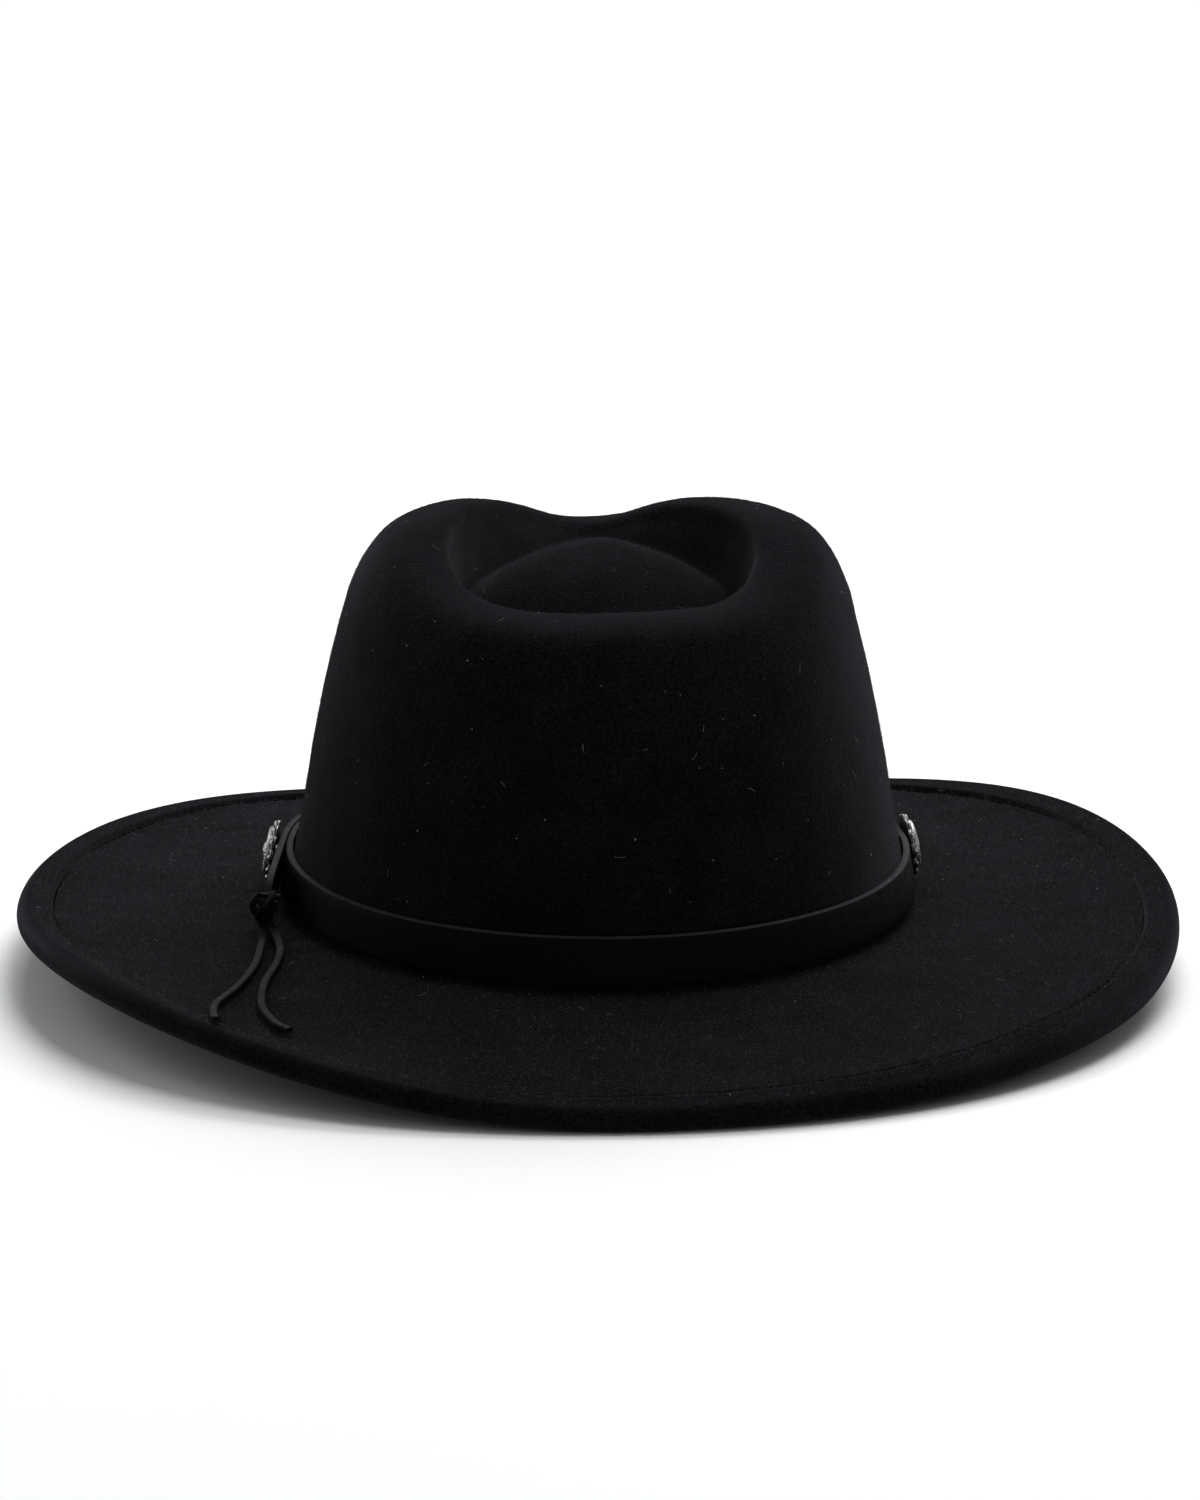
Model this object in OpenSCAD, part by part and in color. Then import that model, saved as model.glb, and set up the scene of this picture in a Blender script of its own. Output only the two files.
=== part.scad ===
// Western hat: one felt body with a teardrop crease, a turned-under brim edge over a spring wire,
// a leather strap with two screw-back discs and a lace, and the fittings inside the head opening.
// Frame: X to the wearer's right, Y to the front, Z up. The hat rests on the front and back of its brim.

/* [Head opening] */
// Half the width of the opening inside the sweatband at the brim break
head_half_w = 83; // [76:0.5:90]
// Half the length of the opening inside the sweatband at the brim break
head_half_l = 101.5; // [94:0.5:110]
// Share by which the oval is narrower at the front than across the middle
head_egg = 0.03; // [0:0.01:0.06]

/* [Felt] */
// Thickness of the felt
felt_t = 2; // [1.6:0.1:2.6]

/* [Crown] */
// Height of the crest at the sides above the brim break
crest_side_h = 108.5; // [98:0.5:118]
// Height of the crest at the front pinch above the brim break
crest_front_h = 93.2; // [86:0.1:104]
// Height of the crest at the back above the brim break
crest_back_h = 94; // [86:1:104]
// How far the low back of the crest reaches round to the sides
crest_back_reach = 0.31; // [0:0.01:0.4]
// How abruptly the crest dips to the front pinch: 2 is gradual
pinch_power = 2.5; // [2:0.1:4]
// Half the width of the crest across its middle
crest_half_w = 41; // [36:0.5:46]
// How strongly the crest narrows towards the front
crest_taper = 0.45; // [0.2:0.01:0.5]
// Distance of the crest in front of the middle
crest_front_y = 65; // [58:1:70]
// Distance of the crest behind the middle
crest_back_y = 62; // [56:1:68]
// Drop from the crest to the shoulder where the wall begins
shoulder_drop = 20; // [15:1:26]
// Share of the way from the crest to the brim break at which the shoulder lies in plan
shoulder_reach = 0.62; // [0.5:0.01:0.72]
// How far the wall swells outward at half height
wall_swell = 1.2; // [0:0.1:4]
// Radius of the turn from the wall into the brim
break_r = 4; // [3:0.5:6]

/* [Crease] */
// Half the width of the teardrop trough
trough_half_w = 34; // [26:0.5:36]
// Distance of the trough in front of the middle
trough_front_y = 50; // [44:1:54]
// Distance of the trough behind the middle
trough_back_y = 45; // [38:1:48]
// How strongly the trough narrows towards the front
trough_taper = 0.55; // [0.2:0.01:0.6]
// Depth of the trough below the crest at the back and sides
trough_depth = 19; // [12:0.5:24]
// Depth of the trough below the crest at the front
trough_front_depth = 8; // [5:0.5:12]
// Height of the dome inside the trough above the brim break
dome_h = 100.5; // [94:0.5:106]

/* [Brim] */
// Width of the brim at the sides
brim_side_w = 75; // [66:1:84]
// Width of the brim at the front and back
brim_end_w = 69.5; // [60:1:80]
// Extra width halfway between the sides and the ends
brim_quarter_w = 3.5; // [0:0.5:6]
// Fall of the brim per unit of width at the sides, before it curls up
brim_side_fall = 0.06; // [0:0.01:0.12]
// Fall of the brim per unit of width at the front and back
brim_end_fall = 0.19; // [0.12:0.01:0.24]
// Rise of the curled edge at the sides
curl_side = 6.5; // [2:0.5:14]
// Rise of the curled edge at the front quarters
curl_front_quarter = 5.2; // [0:0.1:8]
// Rise of the curled edge at the left back quarter
curl_back_left = 7.5; // [2:0.5:12]
// Rise of the curled edge at the right back quarter, on which the hat settles
curl_back_right = 3; // [2:0.5:12]
// Twist of the brim: the right front and left back stand this much higher
brim_twist = 1.8; // [0:0.1:3]
// Steepness of the curl: a high value keeps it close to the edge
curl_power = 4; // [2.5:0.1:5]

/* [Brim edge] */
// Width of the felt that is turned under at the edge
hem_w = 11; // [9:0.5:14]
// Diameter of the spring wire in the fold
wire_d = 1.2; // [0.8:0.1:1.4]
// Length of the crimped sleeve that joins the wire's ends
sleeve_len = 12; // [8:1:16]

/* [Sweatband] */
// Height of the sweatband above the brim break
sweat_h = 30; // [24:1:38]
// Thickness of the sweatband leather
sweat_t = 1; // [0.8:0.1:1.2]
// Diameter of the reed in its hem
reed_d = 1.7; // [1.4:0.1:2]

/* [Lining] */
// Height of the flat tip of the lining above the brim break
lining_h = 64; // [56:1:66]
// Thickness of the lining
lining_t = 0.5; // [0.4:0.1:0.7]

/* [Strap] */
// Height of the strap
strap_h = 12; // [10:0.5:15]
// Thickness of the strap
strap_t = 2; // [1.4:0.1:2.4]
// Height of the strap's lower edge above the brim break
strap_z = 3; // [2.5:0.5:6]
// Length of the free tongue behind the left disc
tongue_len = 44; // [30:1:50]

/* [Discs] */
// Diameter of the domed discs
concho_d = 18; // [16:0.5:20]
// Height of the dome
concho_h = 3.2; // [2.5:0.1:4]
// Number of scallops round the rim
concho_scallops = 12; // [8:1:16]
// Diameter of the screw posts
post_d = 3.6; // [3:0.1:4.2]

/* [Lace] */
// Diameter of the lace
lace_d = 2.2; // [1.8:0.1:2.6]

/* [Hidden] */

// Running clearances
fit_gap = 0.2;       // between the layers inside the crown
strap_gap = 0.5;    // between the strap and the crown
wire_gap = 0.2;      // round the wire's sleeve
hem_gap = 0.4;       // between the brim and the felt turned under it
post_gap = 0.2;      // round a screw post

// Sampling: one column of points every 360/around degrees
around = 48;
step = 360 / around;
cols = [for (j = [0:around - 1]) j * step];

// The crown's outer oval at the brim break, built out from the head opening
inside_layers = sweat_t + lining_t + 3 * fit_gap;
half_w = head_half_w + inside_layers + felt_t;
half_l = head_half_l + inside_layers + felt_t;

// Fold at the brim's edge
sleeve_d = wire_d + 0.8;
fold_r = sleeve_d / 2 + wire_gap;
nose_r = fold_r + felt_t;
end_tilt = atan(brim_end_fall);

// The brim break stands so high that the front and back of the edge touch Z = 0
break_z = nose_r * (1 + cos(end_tilt)) + brim_end_fall * (brim_end_w - nose_r);

function unit(v) = v / norm(v);
function mix(p, q, t) = p + (q - p) * t;

// ---- Plan of the crown ----
function oval(a) = [half_w * cos(a) * (1 - head_egg * sin(a)), half_l * sin(a), break_z];
function outward(a) = unit([half_l * cos(a),
                            half_w * (sin(a) + head_egg * cos(2 * a)), 0]);

// ---- Crown ----
function ends_share(a) =
    sin(a) > 0 ? pow(sin(a), pinch_power) : pow(sin(a), 2) + crest_back_reach * pow(sin(2 * a), 2);
function crest_z(a) =
    let (end_h = sin(a) > 0 ? crest_front_h : crest_back_h)
    break_z + crest_side_h - (crest_side_h - end_h) * ends_share(a);
function teardrop(a, w, taper, front, back, z) =
    [w * cos(a) * (1 - taper * sin(a)), (front - back) / 2 + (front + back) / 2 * sin(a), z];
function crest(a) = teardrop(a, crest_half_w, crest_taper, crest_front_y, crest_back_y, crest_z(a));
function between(a, share, drop) =
    let (p = mix(crest(a), oval(a), share))
    [p[0], p[1], crest_z(a) - drop];
function shoulder(a) = between(a, shoulder_reach, shoulder_drop);
function wall(a, t) = mix(oval(a), shoulder(a), t) + outward(a) * wall_swell * 4 * t * (1 - t);
function wall_at(a, z) = wall(a, z / (shoulder(a)[2] - break_z));
function trough(a) =
    let (depth = mix(trough_depth, trough_front_depth, pow(max(sin(a), 0), 2)))
    teardrop(a, trough_half_w, trough_taper, trough_front_y, trough_back_y, crest_z(a) - depth);
function inner_bank(a) =
    let (c = crest(a), t = trough(a), m = mix(c, t, 0.5))
    [m[0], m[1], c[2] + (t[2] - c[2]) * 0.42];
apex = [0, 0, break_z + dome_h];
function dome_row(a, share, lift) =
    let (t = trough(a), m = mix(t, apex, share))
    [m[0], m[1], t[2] + (apex[2] - t[2]) * lift];
function top_rows(a) = [apex, dome_row(a, 0.62, 0.82), dome_row(a, 0.28, 0.45), trough(a),
                        inner_bank(a), crest(a), between(a, shoulder_reach * 0.64, shoulder_drop * 0.18),
                        shoulder(a), wall(a, 0.75)];

// Smooth curve through rows 0 to 7; the curve enters row 0 from the opposite side of the crown
function through(p0, p1, p2, p3, t) =
    0.5 * (2 * p1 + (p2 - p0) * t + (2 * p0 - 5 * p1 + 4 * p2 - p3) * t * t
           + (3 * p1 - p0 - 3 * p2 + p3) * t * t * t);
top_cuts = [2, 2, 2, 2, 2, 2, 2];
function top_curve(a) =
    let (rows = top_rows(a), before = dome_row(a + 180, 0.62, 0.82))
    [for (i = [0:6], k = [0:top_cuts[i] - 1])
        through(i == 0 ? before : rows[i - 1], rows[i], rows[i + 1], rows[i + 2], k / top_cuts[i])];
wall_cuts = [1, 0.8, 0.6, 0.4, 0.2];
function wall_curve(a) = [for (t = wall_cuts) wall(a, t)];

// ---- Brim ----
function brim_w(a) = mix(brim_end_w, brim_side_w, pow(cos(a), 2)) + brim_quarter_w * pow(sin(2 * a), 2);
function brim_fall(a) = mix(brim_end_fall, brim_side_fall, pow(cos(a), 2));
function quarter_curl(a) =
    sin(a) > 0 ? curl_front_quarter : cos(a) > 0 ? curl_back_right : curl_back_left;
function curl(a) =
    curl_side * pow(cos(a), 2) + 2 * brim_twist * sin(2 * a) * pow(cos(a), 2)
    + quarter_curl(a) * pow(sin(2 * a), 2);
function brim(a, r) =
    oval(a) + outward(a) * r + [0, 0, curl(a) * pow(r / brim_w(a), curl_power) - brim_fall(a) * r];
function break_curve(a) =
    let (p = wall_at(a, break_r), q = brim(a, break_r), c = oval(a))
    [for (t = [0:0.25:1]) mix(mix(p, c, t), mix(c, q, t), t)];
function fold_reach(a) = brim_w(a) - nose_r;
brim_cuts = [0.12, 0.3, 0.48, 0.64, 0.78, 0.87, 0.95, 1];
function brim_curve(a) = [for (t = brim_cuts) brim(a, mix(break_r, fold_reach(a), t))];

// Upward normal of the brim at a distance r from the break
function brim_up(a, r) =
    let (e = 0.5)
    unit(cross(brim(a, r + e) - brim(a, r - e), brim(a + e, r) - brim(a - e, r)));
// A point of the brim's edge: so far in from the fold's centre, so deep under the top surface
function edge_point(a, inward, depth) =
    let (r = fold_reach(a) - inward)
    brim(a, r) - brim_up(a, r) * depth;
// A point round the fold's centre, at an angle from straight up, turning outward and down
function fold_point(a, radius, turn) =
    let (r = fold_reach(a), up = brim_up(a, r), out = unit(outward(a) - up * (outward(a) * up)))
    brim(a, r) - up * nose_r + up * radius * cos(turn) + out * radius * sin(turn);
leaf_depth = 2 * felt_t + hem_gap;
function edge_curve(a) = concat(
    [for (turn = [30:30:180]) fold_point(a, nose_r, turn)],
    [edge_point(a, 4, leaf_depth), edge_point(a, hem_w - nose_r, leaf_depth),
     edge_point(a, hem_w - nose_r, felt_t + hem_gap), edge_point(a, 4, felt_t + hem_gap)],
    [for (turn = [180:-45:0]) fold_point(a, fold_r, turn)],
    [edge_point(a, 4, felt_t), edge_point(a, hem_w - nose_r, felt_t)]);

// ---- Felt body: outer surface, edge and inner surface as one closed skin ----
function outer_column(a) = concat(top_curve(a), wall_curve(a), break_curve(a), brim_curve(a));
outer = [for (a = cols) outer_column(a)];
rows_out = len(outer[0]);
// The inner surface follows the outer one as far as the start of the fold
fold_start = rows_out - 4;
function felt_normal(j, i) =
    i == 0 ? [0, 0, 1] :
    let (round_v = outer[(j + 1) % around][i] - outer[(j + around - 1) % around][i],
         down_v = outer[j][min(i + 1, rows_out - 1)] - outer[j][i - 1])
    unit(cross(down_v, round_v));
function inner_column(j) = [for (i = [fold_start:-1:0]) outer[j][i] - felt_normal(j, i) * felt_t];

// Closes columns of points into a skin; the first and last point of every column are shared
module closed_skin(columns) {
    n = len(columns);
    m = len(columns[0]) - 2;
    points = concat([columns[0][0]],
                    [for (c = columns, i = [1:m]) c[i]],
                    [columns[0][m + 1]]);
    last = n * m + 1;
    faces = concat(
        [for (j = [0:n - 1]) [0, 1 + ((j + 1) % n) * m, 1 + j * m]],
        [for (j = [0:n - 1], i = [0:m - 2])
            let (p = 1 + j * m + i, q = 1 + ((j + 1) % n) * m + i)
            each [[p, q, q + 1], [p, q + 1, p + 1]]],
        [for (j = [0:n - 1]) [last, j * m + m, ((j + 1) % n) * m + m]]);
    polyhedron(points, faces);
}

// Closes rings of points, each a loop of the same length, into a ring-shaped tube
module ring_tube(rings) {
    n = len(rings);
    m = len(rings[0]);
    faces = [for (j = [0:n - 1], i = [0:m - 1])
        let (p = j * m + i, q = ((j + 1) % n) * m + i,
             p1 = j * m + (i + 1) % m, q1 = ((j + 1) % n) * m + (i + 1) % m)
        each [[p, q, q1], [p, q1, p1]]];
    polyhedron([for (r = rings) each r], faces);
}

// Closes rings of points into a tube with flat ends
module open_tube(rings) {
    n = len(rings);
    m = len(rings[0]);
    sides = [for (j = [0:n - 2], i = [0:m - 1])
        let (p = j * m + i, q = (j + 1) * m + i,
             p1 = j * m + (i + 1) % m, q1 = (j + 1) * m + (i + 1) % m)
        each [[p, q, q1], [p, q1, p1]]];
    ends = [[for (i = [0:m - 1]) i], [for (i = [m - 1:-1:0]) (n - 1) * m + i]];
    polyhedron([for (r = rings) each r], concat(sides, ends));
}

// Ring of points round p, square to the direction d
function ring_at(p, d, radius, sides) =
    let (side = unit(cross(d, abs(d[2]) > 0.9 ? [1, 0, 0] : [0, 0, 1])), up = cross(side, d))
    [for (i = [0:sides - 1]) p + radius * (side * cos(i * 360 / sides) + up * sin(i * 360 / sides))];
function path_direction(path, i) = unit(path[min(i + 1, len(path) - 1)] - path[max(i - 1, 0)]);
function tube_rings(path, radius, sides) =
    [for (i = [0:len(path) - 1]) ring_at(path[i], path_direction(path, i), radius, sides)];

module felt_body() {
    color("#1b1b1e")
        closed_skin([for (j = [0:around - 1])
            concat(outer[j], edge_curve(cols[j]), inner_column(j))]);
}

// ---- Spring wire in the fold; its ends meet in the sleeve, halfway between two columns ----
function wire_point(a) = fold_point(a, 0, 0);
joint_col = 36;
joint_p = mix(wire_point(joint_col * step), wire_point((joint_col + 1) * step), 0.5);
joint_d = unit(wire_point((joint_col + 1) * step) - wire_point(joint_col * step));
joint_gap = 0.4;
module brim_wire() {
    path = concat([joint_p + joint_d * joint_gap / 2],
                  [for (j = [1:around]) wire_point((joint_col + j) * step)],
                  [joint_p - joint_d * joint_gap / 2]);
    color("#6f7276") open_tube(tube_rings(path, wire_d / 2, 6));
}

// Turns the Z axis to the direction d and moves the origin to p
module along(p, d) {
    translate(p)
        rotate([0, acos(d[2]), atan2(d[1], d[0])])
            children();
}

sleeve_bore_gap = 0.1;
module wire_sleeve() {
    color("#8a8d90")
        along(joint_p - joint_d * sleeve_len / 2, joint_d)
            difference() {
                cylinder(d = sleeve_d, h = sleeve_len, $fn = 24);
                translate([0, 0, -1])
                    cylinder(d = wire_d + 2 * sleeve_bore_gap, h = sleeve_len + 2, $fn = 24);
            }
}

// ---- Inside the head opening: points at a depth under the crown's outer wall ----
wall_lean = 1.03;   // the wall leans, so a level cut through the felt is a little wider
lining_depth = felt_t * wall_lean + fit_gap;
sweat_depth = lining_depth + lining_t + fit_gap;
function under_wall(a, z, depth) =
    let (p = wall_at(a, max(z, 0)))
    [p[0], p[1], break_z + z] - outward(a) * depth;

// Hem of the sweatband, folded outward round the reed under the brim break
hem_slack = 0.15;
hem_leaf = 0.8;
hem_in = reed_d + 2 * hem_slack;
reed_z = -1.2 - reed_d / 2;
hem_floor = reed_z - reed_d / 2 - hem_slack;
hem_top = -0.8;
hem_corner = 0.7;
sweat_profile = [
    [-sweat_t, sweat_h], [-sweat_t, sweat_h / 2], [-sweat_t, 0], [-sweat_t, hem_floor],
    [0, hem_floor - hem_leaf], [hem_in, hem_floor - hem_leaf],
    [hem_in + hem_leaf, hem_floor - hem_leaf + hem_corner], [hem_in + hem_leaf, hem_top],
    [hem_in, hem_top], [hem_in, hem_floor], [0, hem_floor], [0, 0], [0, sweat_h / 2], [0, sweat_h]];
module sweatband() {
    color("#2b2522")
        ring_tube([for (a = cols) [for (p = sweat_profile) under_wall(a, p[1], sweat_depth - p[0])]]);
}

module sweatband_reed() {
    centre = [for (a = cols) under_wall(a, reed_z, sweat_depth - hem_in / 2)];
    color("#d8d6cf")
        ring_tube([for (j = [0:around - 1])
            let (d = unit(centre[(j + 1) % around] - centre[(j + around - 1) % around]))
            ring_at(centre[j], d, reed_d / 2, 6)]);
}

// Small flat bow sewn over the sweatband's rear seam
bow_w = 22;
bow_h = 9;
bow_t = 0.8;
knot_w = 4;
module bow_loop() {
    hull() {
        translate([bow_w / 2 - bow_h / 4, bow_h / 4])
            circle(d = bow_h / 2, $fn = 24);
        translate([bow_w / 2 - bow_h / 4, -bow_h / 4])
            circle(d = bow_h / 2, $fn = 24);
        square([1, knot_w * 0.7], center = true);
    }
}
// The flat bow bridges the sweatband's curve, so it stands off by the curve's depth across it
bow_sag = pow(bow_w / 2, 2) * head_half_l / pow(head_half_w, 2) / 2;
module sweatband_bow() {
    seat = under_wall(270, sweat_h / 2, sweat_depth + sweat_t + fit_gap + bow_sag);
    rise = under_wall(270, sweat_h, 0) - under_wall(270, sweat_h / 2, 0);
    color("#202024")
        translate(seat)
            rotate([-90 - atan2(rise[1], rise[2]), 0, 0])
                union() {
                    linear_extrude(bow_t) {
                        bow_loop();
                        mirror([1, 0])
                            bow_loop();
                    }
                    translate([-knot_w / 2, -knot_w / 2, 0])
                        cube([knot_w, knot_w, 2 * bow_t]);
                }
}

// ---- Satin lining: a cup whose lower edge is tucked behind the sweatband ----
lining_tuck = sweat_h / 3;
tip_turn = 7;       // radius of the turn from the lining's side into its tip
function lining_column(a, inset) =
    let (h = lining_h - inset, d = lining_depth + inset)
    [[0, 0, break_z + h],
     under_wall(a, h, d + tip_turn),
     under_wall(a, h - tip_turn * 0.3, d + tip_turn * 0.3),
     under_wall(a, h - tip_turn, d),
     under_wall(a, (h + sweat_h) / 2, d),
     under_wall(a, sweat_h, d),
     under_wall(a, lining_tuck, d)];
function reversed(list) = [for (i = [len(list) - 1:-1:0]) list[i]];
module crown_lining() {
    color("#26262c")
        closed_skin([for (a = cols)
            concat(lining_column(a, 0), reversed(lining_column(a, lining_t)))]);
}

// ---- Strap: one length of leather round the crown; its ends overlap under the left disc ----
disc_left_a = 175;
disc_right_a = 5;
lap_start = disc_left_a - 9;    // where the inner end begins
lap = 11;                       // degrees on which the outer end hugs the inner one
strap_turns = 360 + lap;
lap_step = strap_t + fit_gap;
ramp = 24;          // degrees over which the outer end climbs over the inner one
strap_mid = strap_z + strap_h / 2;

// Distance of the strap's inner face from the crown's wall
function strap_off(s) =
    strap_gap + lap_step * min(max((s - (360 - ramp)) / ramp, 0), 1);
function strap_point(s, z, off) =
    let (a = lap_start + s)
    wall_at(a, z) + outward(a) * off;
strap_bottom = strap_z;
strap_top = strap_z + strap_h;
function strap_ring(s) = [
    strap_point(s, strap_bottom, strap_off(s)), strap_point(s, strap_bottom, strap_off(s) + strap_t),
    strap_point(s, strap_top, strap_off(s) + strap_t), strap_point(s, strap_top, strap_off(s))];
// The tongue leaves the crown straight on from the strap's last stretch and ends in a round tip
tongue_s = strap_turns;
tongue_dir = unit(strap_point(tongue_s, strap_mid, 0) - strap_point(tongue_s - 2, strap_mid, 0));
function tongue_ring(share) =
    let (narrow = strap_h * 0.28 * pow(max(share - 0.8, 0) / 0.2, 2), shift = tongue_dir * tongue_len * share,
         r = strap_ring(tongue_s))
    [r[0] + shift + [0, 0, narrow], r[1] + shift + [0, 0, narrow],
     r[2] + shift - [0, 0, narrow], r[3] + shift - [0, 0, narrow]];
strap_stops = concat([0], [for (j = [ceil(lap_start / step):floor((lap_start + strap_turns) / step)])
                               if (j * step - lap_start > 1 && j * step - lap_start < strap_turns - 1)
                                   j * step - lap_start],
                     [strap_turns]);

// Frame of a disc on the strap: centre of its seat, just high enough for the rim to clear the brim,
// and its axis, square to the wall
disc_clear = 0.4;
disc_z = concho_d / 2 + disc_clear;
function wall_axis(a) =
    let (across = wall_at(a + 1, disc_z) - wall_at(a - 1, disc_z),
         up = wall_at(a, strap_top) - wall_at(a, strap_bottom))
    unit(cross(across, up));
left_axis = wall_axis(disc_left_a);
right_axis = wall_axis(disc_right_a);
stack_left = strap_gap + lap_step + strap_t;
stack_right = strap_gap + strap_t;
left_seat = wall_at(disc_left_a, disc_z);
right_seat = wall_at(disc_right_a, disc_z);

// Hole for the lace near the tip of the tongue
hole_d = lace_d + 1.2;
tongue_end = strap_point(tongue_s, strap_mid, strap_off(tongue_s) + strap_t / 2) + tongue_dir * tongue_len;
hole_to_tip = hole_d / 2 + 2.4;
hole_p = tongue_end - tongue_dir * hole_to_tip;
hole_axis = unit(cross(tongue_dir, [0, 0, 1]));
head_d = 8;
head_t = 0.9;
pocket_t = head_t + 0.2;

module hat_band() {
    rings = concat([for (s = strap_stops) strap_ring(s)],
                   [for (share = [0.4, 0.8, 0.9, 0.96, 1]) tongue_ring(share)]);
    color("#17171a")
        difference() {
            open_tube(rings);
            along(left_seat - left_axis, left_axis)
                cylinder(d = post_d + 2 * post_gap, h = stack_left + 4, $fn = 32);
            along(left_seat - left_axis, left_axis)
                cylinder(d = head_d + 2 * post_gap, h = 1 + strap_gap + pocket_t, $fn = 32);
            along(right_seat - right_axis, right_axis)
                cylinder(d = post_d + 2 * post_gap, h = stack_right + 4, $fn = 32);
            along(right_seat - right_axis, right_axis)
                cylinder(d = head_d + 2 * post_gap, h = 1 + strap_gap + pocket_t, $fn = 32);
            along(hole_p - hole_axis * 4, hole_axis)
                cylinder(d = hole_d, h = 8, $fn = 24);
        }
}

// Screw post: flat head in the strap's back, shank through the strap into the disc
grip = 2;           // length of the shank inside the disc
module concho_post(stack) {
    translate([0, 0, strap_gap + 0.1])
        cylinder(d = head_d, h = head_t, $fn = 48);
    translate([0, 0, strap_gap + 0.1])
        cylinder(d = post_d, h = stack - strap_gap + grip, $fn = 48);
}

// Domed disc with a scalloped rim, a raised ring and a boss, screwed on its post
seat_gap = 0.6;
rim_t = 1.2;
boss_d = 5;
ring_d = 11.5;
disc_bore = post_d + 0.2;
module concho(stack) {
    scallop_d = concho_d * PI / concho_scallops * 1.15;
    translate([0, 0, stack + seat_gap])
        difference() {
            union() {
                cylinder(d = concho_d - scallop_d, h = rim_t, $fn = 64);
                for (k = [0:concho_scallops - 1])
                    rotate([0, 0, k * 360 / concho_scallops])
                        translate([(concho_d - scallop_d) / 2, 0, 0])
                            cylinder(d = scallop_d, h = rim_t, $fn = 24);
                rotate_extrude($fn = 64)
                    polygon([[0, 0], [concho_d * 0.4, 0], [concho_d * 0.4, rim_t],
                             [ring_d / 2 + 1.2, concho_h * 0.62], [ring_d / 2 + 0.8, concho_h * 0.84],
                             [ring_d / 2, concho_h * 0.84], [ring_d / 2 - 0.4, concho_h * 0.68],
                             [boss_d / 2 + 0.4, concho_h * 0.8], [boss_d / 2, concho_h],
                             [boss_d / 4, concho_h + 0.5], [0, concho_h + 0.6]]);
            }
            translate([0, 0, -1])
                cylinder(d = disc_bore, h = 1 + grip, $fn = 48);
        }
}

module concho_left() {
    color("#8d8f93")
        along(left_seat, left_axis)
            concho(stack_left);
}
module concho_right() {
    color("#8d8f93")
        along(right_seat, right_axis)
            concho(stack_right);
}
module concho_post_left() {
    color("#77797d")
        along(left_seat, left_axis)
            concho_post(stack_left);
}
module concho_post_right() {
    color("#77797d")
        along(right_seat, right_axis)
            concho_post(stack_right);
}

// ---- Lace: looped through the tongue's hole and round its tip, with two tails lying on the brim ----
lace_r = lace_d / 2;
tip_gap = 0.4;
loop_r = (hole_to_tip + lace_r + tip_gap) / 2;
loop_c = hole_p + tongue_dir * loop_r;
wrap_len = 6;
wrap_top = 1.4;     // the wrap starts so far above the loop
wrap_c = loop_c + tongue_dir * (loop_r + lace_r * 0.6) + [0, 0, wrap_top - wrap_len];
module lace_knot() {
    color("#141416")
        union() {
            translate(loop_c)
                rotate_extrude($fn = 48)
                    translate([loop_r, 0])
                        circle(r = lace_r, $fn = 24);
            translate(wrap_c)
                rotate([0, 0, atan2(tongue_dir[1], tongue_dir[0])])
                    hull() {
                        translate([0, -lace_r, 0])
                            cylinder(r = lace_r * 1.6, h = wrap_len, $fn = 32);
                        translate([0, lace_r, 0])
                            cylinder(r = lace_r * 1.6, h = wrap_len, $fn = 32);
                    }
        }
}

// Routes of the two tails: down from the wrap, then along the brim to its back edge
outer_route = [
    [-94.8, -40.2, 23.2], [-94.8, -40.6, 21.8], [-94.6, -42.5, 20.5], [-94.2, -47, 19.8], [-94.8, -58, 18.9],
    [-96.3, -70, 18.1], [-98.7, -82, 17.5], [-101.7, -91, 17], [-104.6, -99, 17], [-106.6, -107, 17.4],
    [-107.4, -116, 18], [-107.2, -126, 19.3], [-106.2, -132, 20.3]];
inner_route = [
    [-92.6, -40, 23.2], [-92.5, -40.4, 21.8], [-91.9, -42.5, 20.6], [-90.6, -48, 19.9], [-89.4, -59, 19.2],
    [-90.3, -69, 18.5], [-91.7, -77, 17.9], [-93.4, -85, 17.3], [-94.4, -92, 16.9], [-94.7, -100, 16.5],
    [-94.2, -108, 16.2], [-92.7, -116, 16], [-90.2, -123, 15.8], [-87.2, -127, 15.6]];
module lace_tail(route) {
    color("#141416") open_tube(tube_rings(route, lace_d / 2, 8));
}
module lace_tail_outer() { lace_tail(outer_route); }
module lace_tail_inner() { lace_tail(inner_route); }

felt_body();
brim_wire();
wire_sleeve();
sweatband();
sweatband_reed();
sweatband_bow();
crown_lining();
hat_band();
concho_left();
concho_right();
concho_post_left();
concho_post_right();
lace_knot();
lace_tail_outer();
lace_tail_inner();
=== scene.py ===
"""Looks of the black felt western hat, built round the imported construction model.

Shapes are worked out in millimetres with the construction model's own curves, and turned into metres
where a mesh is made. +X is the wearer's right, +Y the front, +Z up.
"""

import math

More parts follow.
